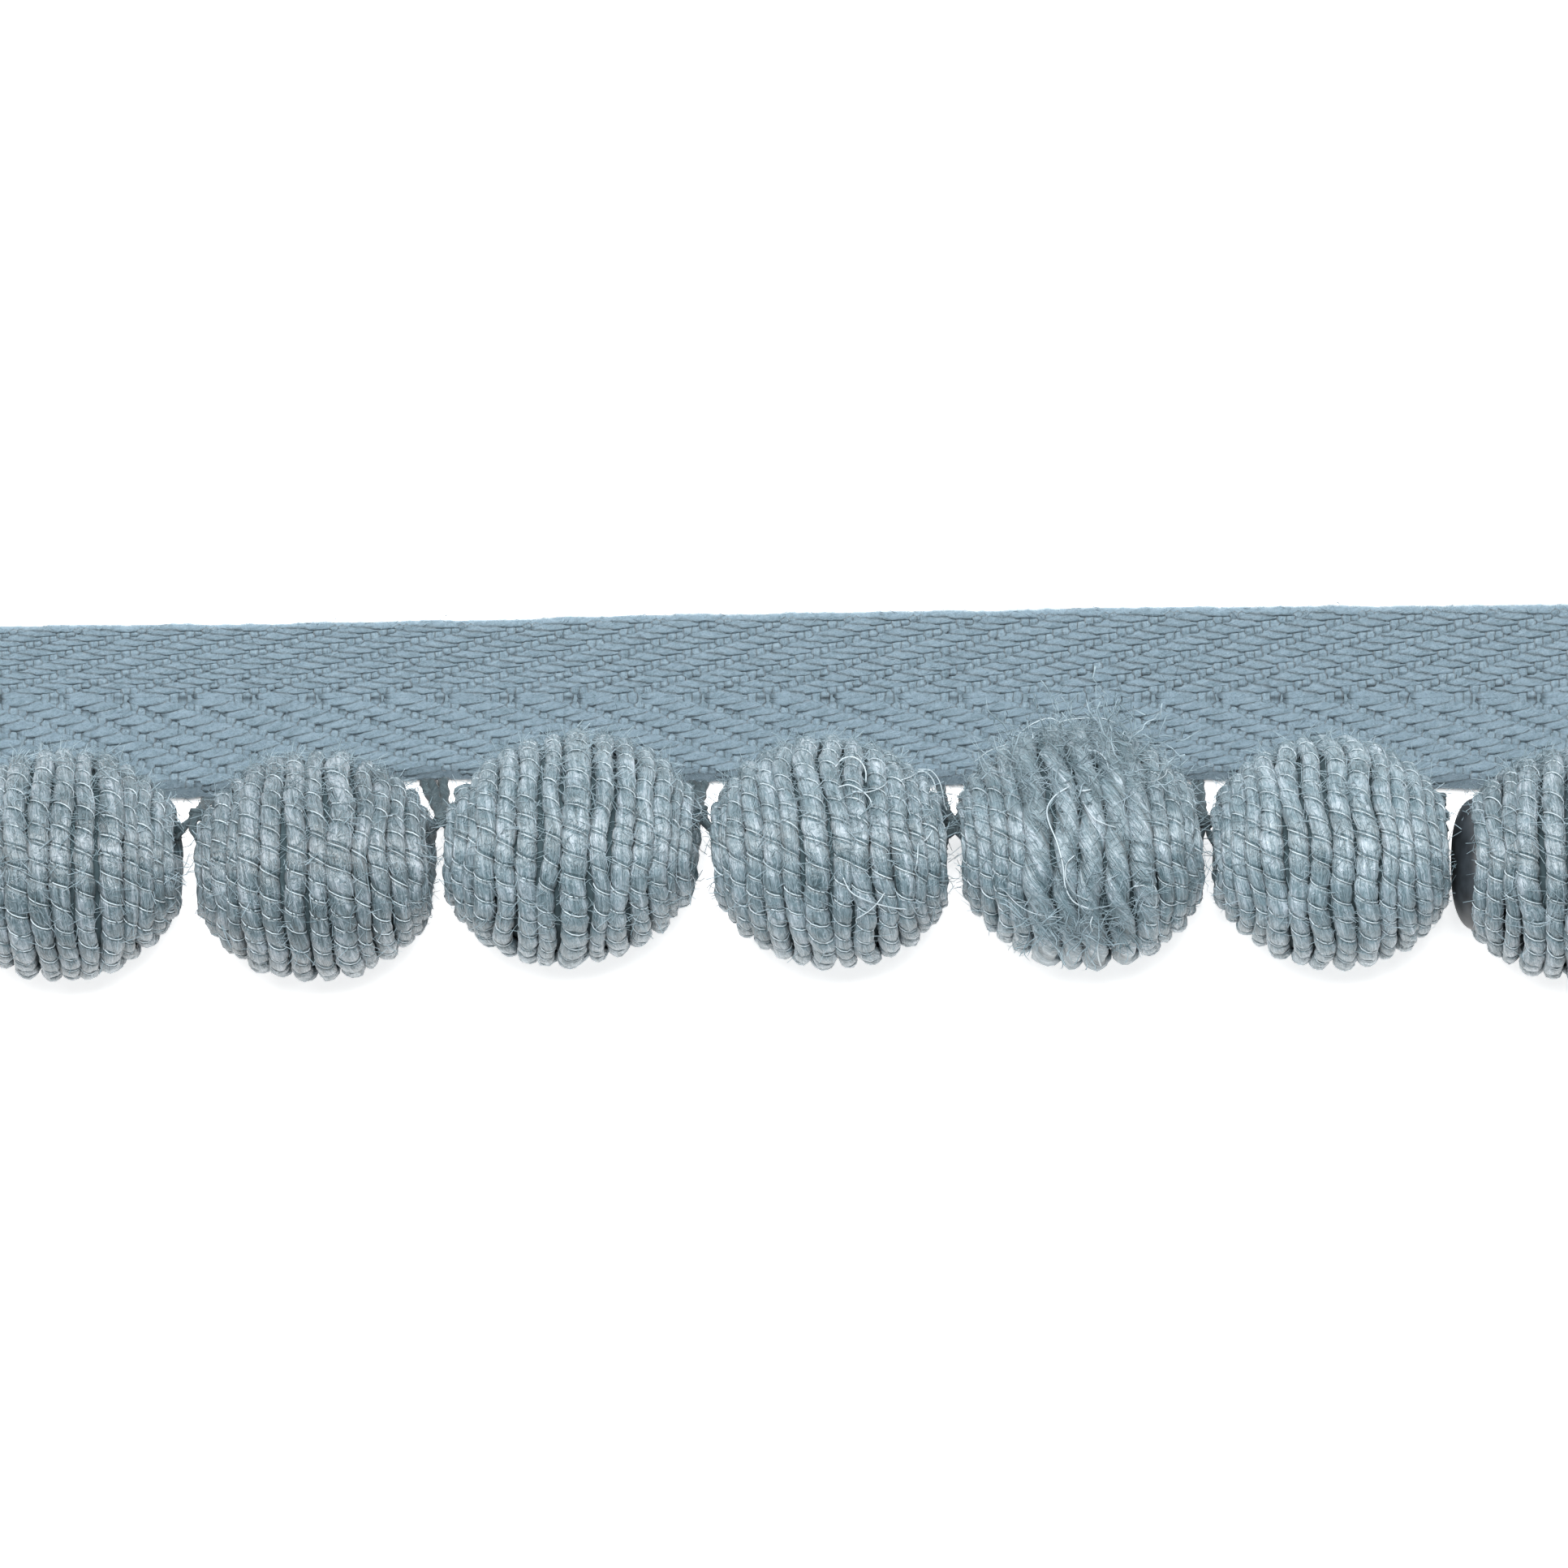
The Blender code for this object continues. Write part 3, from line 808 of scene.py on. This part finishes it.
def edge_at(along, column, phase):
    """The lower or upper edge at places along the tape, eased between sections."""
    table = np.array(TAPE_SECTIONS) * MM
    span = np.clip(np.searchsorted(table[:, 0], along) - 1, 0, len(table) - 2)
    share = np.clip((along - table[span, 0]) / (table[span + 1, 0] - table[span, 0]), 0, 1)
    eased = (1 - np.cos(math.pi * share)) / 2
    edge = table[span, column] + (table[span + 1, column] - table[span, column]) * eased
    long_span, short_span = RIPPLE_SPANS
    ripple = np.sin(along / long_span + phase) + SHORT_SHARE * np.sin(along / short_span + 2 * phase)
    return edge + EDGE_RIPPLE * ripple / (1 + SHORT_SHARE)


def fit_to_edges(piece):
    """Stretches a straight woven piece across, so that each band ends at the tape's own edge."""
    places = points_of(piece.data)
    lower, upper = edge_at(places[:, 0], *LOWER_EDGE), edge_at(places[:, 0], *UPPER_EDGE)
    places[:, 1] *= np.where(places[:, 1] > 0, upper, -lower) / NOMINAL_BAND
    places[:, 0] = np.clip(places[:, 0], -TAPE_LENGTH / 2, TAPE_LENGTH / 2)
    piece.data.vertices.foreach_set("co", places.astype(np.float32).ravel())
    piece.data.update()


upper_warp = run_tree(warp_tree, "tape_upper_warp", {
    "Side": 1.0, "Tilt": 0.06, "Half Width": 0.48 * MM, "Seed": 1.0}, yarn_material)
lower_warp = run_tree(warp_tree, "tape_lower_warp", {
    "Side": -1.0, "Tilt": 0.08, "Half Width": 0.53 * MM, "Seed": 2.0}, yarn_material)
wefts = run_tree(weft_tree, "tape_wefts", {}, weft_material)
for piece in (upper_warp, lower_warp, wefts):
    fit_to_edges(piece)

# %% [markdown]
# Some bodies are easier in plain Python: points in rows, and faces between neighbours. Light
# mustn't leak through the weave, so a thin closed ground sheet lies inside the tape.

# %% Ground sheet
GROUND_LEVELS = 0.50 * MM, 0.79 * MM
GROUND_COLUMNS, GROUND_ROWS = 116, 8
GROUND_INSET = 0.35 * MM


def quads(index):
    """The faces between neighbours in a grid of point numbers."""
    corners = index[:-1, :-1], index[:-1, 1:], index[1:, 1:], index[1:, :-1]
    return [tuple(dict.fromkeys(face)) for face in np.stack(corners, -1).reshape(-1, 4).tolist()]


def solid(name, points, faces, material, smooth=True):
    """A closed body, with every face turned outwards."""
    mesh = bpy.data.meshes.new(name)
    mesh.from_pydata([tuple(point) for point in points], [], faces)
    shape = bmesh.new()
    shape.from_mesh(mesh)
    bmesh.ops.recalc_face_normals(shape, faces=shape.faces)
    shape.to_mesh(mesh)
    shape.free()
    if smooth:
        mesh.shade_smooth()
    mesh.materials.append(material)
    print(f"{name}: {sum(len(face) - 2 for face in faces)} triangles")
    return add_object(name, mesh)


def make_ground():
    along = np.linspace(-0.5, 0.5, GROUND_COLUMNS + 1) * (TAPE_LENGTH - 2 * GROUND_INSET)
    lower = edge_at(along, *LOWER_EDGE) + GROUND_INSET
    upper = edge_at(along, *UPPER_EDGE) - GROUND_INSET
    across = np.linspace(lower, upper, GROUND_ROWS + 1, axis=1)
    points = [(x, y, z) for x, row in zip(along, across) for y in row for z in GROUND_LEVELS]
    index = np.arange(len(points)).reshape(GROUND_COLUMNS + 1, GROUND_ROWS + 1, 2)
    sides = index[:, :, 0], index[:, :, 1], index[:, 0], index[:, -1], index[0], index[-1]
    faces = [face for side in sides for face in quads(side)]
    return solid("tape_ground", points, faces, ground_material, smooth=False)


ground = make_ground()

# %% [markdown]
# Between two turns the eye meets the core, so each ball gets one: a plain dark body a little
# smaller than the winding, whose dark colour is painted shade for the gaps between turns. The last
# ball's winding leaves one end of its core bare: a dark domed disc with a hole for the thread. Both
# are turned, as on a lathe.

# %% Cores
INSIDE_DEPTH, INSIDE_END = 1.7 * MM, 1.1 * MM
INSIDE_SIDES, INSIDE_ROWS = 32, 16
CORE_SIDES, CORE_ROWS = 72, 14
CORE_HIDDEN = 2.0 * MM
CORE_SWELL, CORE_FLAT = 0.5 * MM, 2.0 * MM
# The hole of the bare core: millimetres from the axis, share of the core's length.
HOLE = ((0.0, 0.55), (0.6, 0.6), (0.85, 0.93), (1.15, 1.0))


def turned_body(profile, sides):
    """Points and faces of (radius, height) pairs turned round Z, which start and end on it."""
    points, rows = [], []
    for radius, height in profile:
        count = 1 if radius < 1e-9 else sides
        rows.append([len(points) + side % count for side in range(sides + 1)])
        angles = np.arange(count) * TAU / sides
        points += [(radius * math.cos(a), radius * math.sin(a), height) for a in angles]
    return points, quads(np.array(rows))


def make_inside(name):
    low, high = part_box(name)
    middle, reach = (low + high) / 2, (high - low) / 2 - Vector((INSIDE_END, INSIDE_DEPTH, INSIDE_DEPTH))
    half_circle = np.linspace(0, math.pi, INSIDE_ROWS + 1)
    points, faces = turned_body([(math.sin(a), math.cos(a)) for a in half_circle], INSIDE_SIDES)
    points = [middle + reach * Vector(point) for point in points]
    return solid(name + "_inside", points, faces, inside_material)


def make_core():
    low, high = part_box("core_end")
    middle = (low + high) / 2
    reach, length = (high.y - low.y) / 2, high.x - low.x + CORE_SWELL
    profile = [(radius * MM, share * length) for radius, share in HOLE]
    for turn in np.linspace(0.12, math.pi / 2, CORE_ROWS):
        profile.append((CORE_FLAT + (reach - CORE_FLAT) * math.sin(turn), length * math.cos(turn)))
    profile += [(reach, -CORE_HIDDEN), (0.0, -CORE_HIDDEN)]
    points, faces = turned_body(profile, CORE_SIDES)
    points = [(high.x - depth, middle.y + y, middle.z + z) for y, z, depth in points]
    return solid("core_end_disc", points, faces, core_material)


insides = [make_inside(name) for name in BALL_STYLES]
core = make_core()

# %% [markdown]
# The links are short twisted strands. They leave from under the tape's lower edge, draw together
# into a knot between two balls, and part again. Strands with their own routes are easier as lists
# of points, so a small tube maker takes them.

# %% Tubes along points


def smooth_path(points, count):
    """A smooth curve through rows of numbers, read at even steps."""
    rows = np.array(points, dtype=float)
    rows = np.vstack([2 * rows[0] - rows[1], rows, 2 * rows[-1] - rows[-2]])
    place = np.linspace(0, len(rows) - 3, count)
    span = np.minimum(place.astype(int), len(rows) - 4)
    t = (place - span)[:, None]
    a, b, c, d = (rows[span + step] for step in range(4))
    curve = 2 * b + (c - a) * t + (2 * a - 5 * b + 4 * c - d) * t ** 2
    return 0.5 * (curve + (3 * b - 3 * c + d - a) * t ** 3)


def tube(path, radius, sides, plies=0.0, turn=0.0):
    """Points, faces and straight places of a closed tube along a path, with two plies if asked."""
    path = np.asarray(path)
    steps = np.gradient(path, axis=0)
    steps /= np.linalg.norm(steps, axis=1)[:, None] + 1e-12
    length = np.concatenate([[0], np.cumsum(np.linalg.norm(np.diff(path, axis=0), axis=1))])
    guide = np.cross(steps[0], (0.31, 0.17, 0.93))
    rings, straight = [], []
    angles = np.arange(sides) * TAU / sides
    for place, step, reach, thick in zip(path, steps, length, np.broadcast_to(radius, len(path))):
        guide = guide - step * guide.dot(step)
        guide /= np.linalg.norm(guide)
        other = np.cross(step, guide)
        twisted = angles + reach * turn
        out = thick * (1 + plies * np.cos(2 * (angles - reach * turn)))
        rings.append(place + np.outer(out * np.cos(angles), guide) + np.outer(out * np.sin(angles), other))
        straight.append(np.column_stack([
            thick * np.cos(twisted), thick * np.sin(twisted), np.full(sides, reach)]))
    index = np.arange(len(path) * sides).reshape(len(path), sides)
    faces = quads(np.column_stack([index, index[:, 0]])) + [tuple(index[0, ::-1]), tuple(index[-1])]
    places = np.vstack(rings)
    places[:, 2] = np.maximum(places[:, 2], FLOOR_CLEARANCE)
    return places, faces, np.vstack(straight)


def tubes_object(name, tubes, material):
    """One mesh object of many tubes, whose straight places are kept for the material."""
    points, faces, straight = [], [], []
    for number, (places, sides, flat) in enumerate(tubes):
        start = len(points)
        points += places.tolist()
        straight.append(flat + (0.013 * number, 0, 0.0))
        faces += [tuple(int(corner) + start for corner in face) for face in sides]
    thing = solid(name, points, faces, material)
    layer = thing.data.attributes.new("straight", "FLOAT_VECTOR", "POINT")
    layer.data.foreach_set("vector", np.vstack(straight).astype(np.float32).ravel())
    return thing


print("a test path has", len(smooth_path(((0, 0, 0), (1, 0, 0), (1, 1, 0)), 9)), "points")

# %% [markdown]
# The routes were read off the picture, so they are kept as pixels. The height isn't in a picture:
# it follows from the tape's lower edge at one end and from the balls' axis at the other.

# %% Links
LINK_ROUTES = {
    # link: knot row, then strands of (column, row, radius in hundredths of a millimetre)
    "link_1": (1004, (
        ((238, 934, 62), (243, 960, 72), (246, 985, 55), (241, 1004, 62), (236, 1020, 50), (246, 1040, 40)),
        ((252, 938, 50), (253, 962, 60), (251, 986, 50), (241, 1003, 60), (226, 1018, 50), (216, 1034, 40)),
    )),
    "link_2": (1012, (
        ((514, 934, 62), (524, 956, 80), (534, 984, 72), (543, 1008, 60), (536, 1018, 50), (524, 1030, 40)),
        ((530, 930, 62), (540, 954, 80), (545, 984, 62), (545, 1006, 60), (556, 1020, 50), (570, 1034, 40)),
        ((506, 930, 50), (514, 956, 60), (528, 984, 55), (541, 1006, 50), (548, 1016, 45), (560, 1028, 40)),
    )),
    "link_3": (1000, (
        ((846, 934, 55), (850, 958, 66), (857, 984, 55), (861, 1000, 60), (871, 1014, 55), (886, 1032, 45)),
        ((872, 936, 55), (868, 958, 62), (864, 982, 55), (858, 1000, 60), (851, 1012, 50), (840, 1026, 40)),
        ((859, 934, 50), (859, 960, 60), (860, 984, 55), (862, 1000, 60), (866, 1010, 50), (874, 1022, 40)),
    )),
    "link_4": (1016, (
        ((1160, 944, 50), (1161, 972, 62), (1166, 996, 62), (1176, 1016, 60), (1184, 1030, 50), (1196, 1040, 40)),
        ((1196, 944, 50), (1196, 972, 60), (1189, 996, 60), (1177, 1018, 60), (1166, 1032, 50), (1152, 1044, 40)),
    )),
    "link_5": (1012, (
        ((1470, 926, 60), (1474, 948, 72), (1479, 975, 62), (1484, 1002, 50), (1490, 1024, 40), (1496, 1040, 35)),
        ((1482, 924, 55), (1484, 950, 62), (1485, 978, 50), (1486, 1004, 45), (1484, 1024, 40), (1474, 1040, 35)),
    )),
    "link_6": (985, (
        ((1760, 940, 60), (1764, 962, 70), (1768, 985, 60), (1774, 1005, 50), (1782, 1024, 40)),
    )),
}
LINK_TURN = TAU / (5 * MM)
LINK_SLIMNESS, LINK_PLIES = 0.78, 0.22
KNOT_DEPTH, KNOT_RADIUS, KNOT_PITCH, KNOT_TURNS = 3.5 * MM, 0.72 * MM, 0.42 * MM, 2.4
ROOT_DEPTH, ROOT_RADIUS = 0.34 * MM, 0.26 * MM
STRAND_STEPS, KNOT_STEPS = 40, 44
TAPE_FACE = 1.2 * MM
AXIS_HEIGHT = 12.1 * MM


def link_strands(name, knot_row, strands):
    """The strands of one link and the turns of thread that bind them at the knot."""
    low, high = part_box(name)
    knot_x, knot_y = from_pixel(strands[0][3][0], knot_row)
    knot_z = AXIS_HEIGHT - KNOT_DEPTH
    edge_y = float(edge_at(np.array([(low.x + high.x) / 2]), *LOWER_EDGE)[0])
    table_y = (knot_y - 4 * MM, knot_y, edge_y - 1.2 * MM, edge_y - 0.1 * MM)
    table_z = (AXIS_HEIGHT, knot_z, TAPE_FACE, ROOT_DEPTH)
    made = []
    for number, route in enumerate(strands):
        rows = []
        for column, row, thick in route:
            x, y = from_pixel(column, row)
            rows.append((x, y, float(np.interp(y, table_y, table_z)), thick * (MM / 100)))
        path = smooth_path(rows, STRAND_STEPS)
        path[:, 2] = np.maximum(path[:, 2], ROOT_DEPTH)
        radius = np.where(path[:, 1] > edge_y - 0.2 * MM, ROOT_RADIUS, path[:, 3] * LINK_SLIMNESS)
        made.append(tube(path[:, :3], radius, 10, LINK_PLIES, LINK_TURN * (1 if number else -1)))
    wrap = np.linspace(0, KNOT_TURNS * TAU, KNOT_STEPS)
    around = np.column_stack([
        knot_x + KNOT_RADIUS * np.cos(wrap), knot_y + (wrap / TAU - KNOT_TURNS / 2) * KNOT_PITCH,
        knot_z + KNOT_RADIUS * np.sin(wrap)])
    made.append(tube(around, ROOT_RADIUS, 8, 0.15, LINK_TURN))
    return made


links = {name: tubes_object(name + "_strands", link_strands(name, *route), link_material)
         for name, route in LINK_ROUTES.items()}

# %% [markdown]
# Loose fibres stand off the cord everywhere. One short hair is modelled, and Geometry Nodes
# scatter it over the cord's outer side, turned and scaled at random from a fixed seed. Noise bends
# each hair by its own amount, more towards its tip. Below a ball's middle the hairs are combed in,
# because its outline is clean there. Longer, thicker hairs in two zones of the fifth ball, one
# above and one below, make its tangles.

# %% Loose fibres
HAIR_INPUTS = {
    "Middle X": 0.0, "Middle Y": 0.0, "Middle Z": 0.0, "Density": 1.0e5, "Seed": 1,
    "Hair Length": 2.0 * MM, "Lift": 0.14, "Curl": 1.4 * MM, "Facing": 0.25, "Upwards": 0.05,
    "Hair Radius": 0.032 * MM, "Points": 3, "Top Bias": 0.0, "Clean Below": 0.0,
    "Zone Width": 1.0, "Above": -2.0, "Below": 2.0, "From End": -1.0,
    "Radius": 10.0, "Half Length": 10.0,
}
ROOT_SINK, FLOOR_GAP = 0.15 * MM, 0.06 * MM
BEND_SCALE = 420.0
COMB = 0.85
SHORTEST, LONGEST = 0.4, 1.35


def random_value(low, high, seed):
    node = node_of(seed.tree, "FunctionNodeRandomValue", Seed=seed)
    node.inputs[2].default_value, node.inputs[3].default_value = low, high
    return Field(seed.tree, node.outputs[1])


hair_tree, given = new_tree("Loose fibres", HAIR_INPUTS)
place = output_of(hair_tree, "GeometryNodeInputPosition")
normal = output_of(hair_tree, "GeometryNodeInputNormal")
x, y, z = parts_of(place)
middle_x, middle_y, seed = given.middle_x, given.middle_y, given.seed
outwards = vector_math(
    "NORMALIZE", vector_math("SUBTRACT", place, vector(middle_x, middle_y, given.middle_z)))
upwards = parts_of(outwards)[1]
lowest = given.upwards - upwards.at_most(0.0) * given.clean_below
chosen = vector_math("DOT_PRODUCT", outwards, normal).above(given.facing)
chosen = chosen * parts_of(normal)[2].above(lowest)
chosen = chosen * (x - middle_x).size().below(given.zone_width)
chosen = chosen * upwards.above(given.above) * upwards.below(given.below)
chosen = chosen * read(hair_tree, "end", "FLOAT").above(given.from_end)
scatter = node_of(
    hair_tree, "GeometryNodeDistributePointsOnFaces", Mesh=given.geometry, Selection=chosen,
    Density=given.density * (1 + upwards * given.top_bias), Seed=seed)

line, share = point_line(given.points)
arched = placed(store(line, "tip", share, "FLOAT"), vector(
    share * given.hair_length, 0.0,
    share.power(1.3) * given.lift * given.hair_length - ROOT_SINK))
hair = thin_tube(arched, given.hair_radius)

about = output_of(hair_tree, "FunctionNodeEulerToRotation",
                  Euler=vector(0.0, 0.0, random_value(0.0, TAU, seed)))
spin = output_of(hair_tree, "FunctionNodeRotateRotation", rotation_space="LOCAL",
                 Rotation=Field(hair_tree, scatter.outputs["Rotation"]), Rotate_By=about)
strewn = output_of(
    hair_tree, "GeometryNodeInstanceOnPoints", Points=Field(hair_tree, scatter.outputs["Points"]),
    Instance=hair, Rotation=spin, Scale=random_value(SHORTEST, LONGEST, seed + 7))
real = output_of(hair_tree, "GeometryNodeRealizeInstances", Geometry=strewn)
bend_x, bend_y, bend_z = parts_of(push_of(place, BEND_SCALE, 0.0))
amount = read(hair_tree, "tip", "FLOAT") * given.curl
from_x = x + bend_x * amount - middle_x
from_y = y + bend_y * amount - middle_y
side_x = from_x / (given.half_length / math.sin(LAST_LATITUDE))
side_y = from_y / given.radius
beyond = ((side_x * side_x + side_y * side_y).math("SQRT") - 1).at_least(0.0)
combed = 1 - beyond * (0.6 - side_y * 2).at_least(0.0).at_most(1.0) * COMB
close_tree(placed(real, vector(
    middle_x + from_x * combed, middle_y + from_y * combed,
    (z + bend_z * amount).at_least(FLOOR_GAP))), given.material)

HAIR_DENSITIES = 2.2e6, 2.4e6, 2.2e6, 2.4e6, 2.6e6, 2.0e6, 2.2e6  # hairs on a square metre
BALL_HAIR = {"Top Bias": 0.7, "Clean Below": 0.6}
fuzz = {}
for number, (name, density) in enumerate(zip(BALL_STYLES, HAIR_DENSITIES)):
    values = {**ball_values(name), **BALL_HAIR, "Density": density, "Seed": 11 + number}
    fuzz[name] = run_tree(hair_tree, name + "_fuzz", values, hair_material, cords[name].data)
TANGLE = {
    **ball_values("ball_5"), "Density": 1.6e6, "Seed": 31, "Hair Length": 5.5 * MM, "Lift": 0.22,
    "Points": 9, "Hair Radius": 0.042 * MM, "Curl": 5.0 * MM, "Zone Width": 7.5 * MM}
LOW_TANGLE = {
    **TANGLE, "Density": 3.0e6, "Seed": 32, "Above": -0.80, "Below": -0.35, "Upwards": 0.45,
    "Hair Length": 3.5 * MM, "Curl": 2.8 * MM, "Zone Width": 6.5 * MM}
tangles = [
    run_tree(hair_tree, "ball_5_top_tangle", {**TANGLE, "Above": 0.4}, hair_material, cords["ball_5"].data),
    run_tree(hair_tree, "ball_5_low_tangle", LOW_TANGLE, hair_material, cords["ball_5"].data),
]

# %% [markdown]
# Cotton is hairy too. Its fibres are shorter and lie flatter, and a second scatter reads only the
# outermost yarn of each band, so that the tape's two edges look soft.

# %% Fuzz of the tape
TAPE_HAIR = {
    "Middle Z": -1.0, "Hair Length": 1.2 * MM, "Lift": 0.15, "Curl": 0.6 * MM, "Facing": 0.5,
    "Hair Radius": 0.026 * MM, "Density": 4.0e5}
EDGE_HAIR = {
    **TAPE_HAIR, "Middle Z": 0.0, "Facing": 0.2, "Upwards": -0.3, "Lift": 0.45, "Density": 9.0e6,
    "Hair Length": 0.9 * MM, "Hair Radius": 0.032 * MM, "From End": BAND_ENDS - 1.5}
tape_fuzz = [
    run_tree(hair_tree, name, values, material, warp.data)
    for name, values, material, warp in (
        ("tape_upper_fuzz", {**TAPE_HAIR, "Seed": 41}, tape_hair_material, upper_warp),
        ("tape_lower_fuzz", {**TAPE_HAIR, "Seed": 42}, tape_hair_material, lower_warp),
        ("tape_top_edge_fuzz", {**EDGE_HAIR, "Middle Y": -1.0, "Seed": 43}, tape_hair_material, upper_warp),
        # The lower edge's fuzz takes the darker loose-fibre finish: painted shade, as on the edge's yarns.
        ("tape_low_edge_fuzz", {**EDGE_HAIR, "Middle Y": 1.0, "Seed": 44}, hair_material, lower_warp),
    )]

# %% [markdown]
# Some ends of the pale thread came loose and curl over the balls. They are few and each has its
# own shape, so their routes are read off the picture. Their height follows from the ball below.

# %% Loose thread ends
LOOSE_ENDS = {
    # ball: radius in millimetres, then pixels
    "ball_4": (
        (0.075, ((1029, 945), (1038, 935), (1051, 933), (1061, 940), (1066, 951), (1066, 964))),
        (0.065, ((1032, 970), (1045, 967), (1059, 973), (1070, 983), (1074, 994))),
        (0.055, ((1049, 975), (1068, 976), (1085, 970), (1093, 963))),
        (0.070, ((1110, 961), (1122, 957), (1135, 950), (1146, 956), (1152, 968), (1151, 981))),
        (0.055, ((1131, 948), (1146, 949), (1156, 960), (1161, 975), (1164, 994))),
        (0.075, ((1038, 1080), (1047, 1097), (1064, 1107), (1089, 1115), (1114, 1119), (1141, 1116))),
        (0.060, ((1054, 1131), (1070, 1121), (1081, 1110), (1089, 1099))),
        (0.060, ((1130, 1039), (1141, 1033), (1148, 1021), (1149, 1006), (1144, 991))),
        (0.070, ((1126, 1074), (1129, 1059), (1130, 1040))),
    ),
    "ball_5": (
        (0.085, ((1314, 969), (1296, 981), (1287, 996), (1289, 1013), (1299, 1038), (1306, 1066),
                 (1309, 1091), (1320, 1110), (1343, 1120))),
        (0.080, ((1326, 975), (1333, 974), (1340, 973))),
        (0.080, ((1337, 924), (1350, 927), (1359, 936), (1363, 948))),
        (0.060, ((1393, 1091), (1417, 1090), (1421, 1106), (1419, 1120), (1409, 1131))),
        (0.080, ((1351, 1152), (1350, 1169), (1353, 1184), (1358, 1193))),
        (0.060, ((1320, 1053), (1310, 1064), (1310, 1082), (1320, 1099), (1337, 1108))),
        (0.045, ((1200, 939), (1219, 925), (1244, 916))),
        (0.050, ((1249, 910), (1270, 893), (1293, 885), (1310, 893))),
        (0.050, ((1303, 890), (1322, 886), (1356, 885), (1375, 891))),
        (0.045, ((1236, 1097), (1250, 1112), (1266, 1122), (1284, 1127), (1305, 1129))),
        (0.070, ((1343, 1127), (1340, 1137), (1343, 1146))),
        (0.045, ((1430, 1118), (1451, 1112), (1467, 1106))),
        (0.050, ((1398, 964), (1417, 963), (1432, 956), (1436, 948))),
        (0.060, ((1330, 987), (1343, 1007), (1358, 1015), (1371, 1019))),
    ),
    "ball_6": (
        (0.060, ((1747, 1075), (1770, 1081), (1784, 1080), (1798, 1070))),
    ),
}
LOOSE_GAP, LOOSE_ARCH = 0.30 * MM, 0.45 * MM


def over_ball(name, x, y):
    """The height of a ball's surface, or of its middle beside the ball."""
    low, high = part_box(name)
    middle, reach = (low + high) / 2, (high - low) / 2
    left = 1 - ((x - middle.x) / reach.x) ** 2 - ((y - middle.y) / reach.y) ** 2
    return middle.z + reach.z * math.sqrt(max(left, 0.0))


def loose_threads(name, routes):
    made = []
    for radius, pixels in routes:
        flat = smooth_path([from_pixel(*pixel) for pixel in pixels], 5 * len(pixels))
        lifts = LOOSE_GAP + LOOSE_ARCH * np.sin(np.linspace(0, math.pi, len(flat)))
        points = [(x, y, over_ball(name, x, y) + lift) for (x, y), lift in zip(flat, lifts)]
        made.append(tube(points, radius * MM, 6))
    return tubes_object(name + "_loose_threads", made, thread_material)


loose_ends = [loose_threads(name, routes) for name, routes in LOOSE_ENDS.items()]

# %% [markdown]
# The photograph is a bright cut-out, so the floor is white and lit to white. A soft lamp stands
# close to the camera, a little towards the top of the picture: the balls are brightest along their
# middle, and darker below. The floor glows faintly, as a photographer's light table does, which
# clears the shadows round the balls.

# %% Floor, world and lamp
TABLE_GLOW, WORLD_LIGHT = 0.6, 0.38
LAMP_PLACE, LAMP_SIZE, LAMP_WATTS = (-0.05, 0.30, 0.94), 0.45, 19
FLOOR_REACH = 3

floor_mesh = bpy.data.meshes.new("floor")
floor_mesh.from_pydata(
    [(x * FLOOR_REACH, y * FLOOR_REACH, 0) for x, y in ((-1, -1), (1, -1), (1, 1), (-1, 1))],
    [], [(0, 1, 2, 3)])
floor = add_object("floor", floor_mesh)
floor_mesh.materials.append(new_material(
    "pale floor", Roughness=0.9, Base_Color=(0.93, 0.93, 0.93, 1), Emission_Color=(1, 1, 1, 1),
    Emission_Strength=TABLE_GLOW)[0])

world = bpy.context.scene.world = bpy.data.worlds.new("studio")
world.use_nodes = True
background = world.node_tree.nodes["Background"]
background.inputs["Color"].default_value = (1, 1, 1, 1)
background.inputs["Strength"].default_value = WORLD_LIGHT

lamp_data = bpy.data.lights.new("key", "AREA")
lamp_data.size, lamp_data.energy = LAMP_SIZE, LAMP_WATTS
lamp = add_object("key", lamp_data)
lamp.location = LAMP_PLACE
lamp.rotation_euler = (-Vector(LAMP_PLACE)).to_track_quat("-Z", "Y").to_euler()
lamp.visible_camera = False
bpy.context.scene.view_settings.view_transform = "Standard"
print("lamp:", lamp.name)

# %% [markdown]
# Every piece rides on the trim's one body, and the plain solids that pieces take the place of
# are hidden.

# %% Ride and replace


def ride(pieces):
    for piece in pieces:
        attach(piece, "root")


tape_pieces = [upper_warp, lower_warp, wefts, *tape_fuzz]
ride([*cords.values(), *threads.values(), *fuzz.values(), *tangles, *loose_ends])
ride([*tape_pieces, ground])
ride(links.values())
ride([*insides, core])
for name, piece in {**cords, **links, "tape": ground, "core_end": core}.items():
    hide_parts(name)
print("tape pieces:", len(tape_pieces))
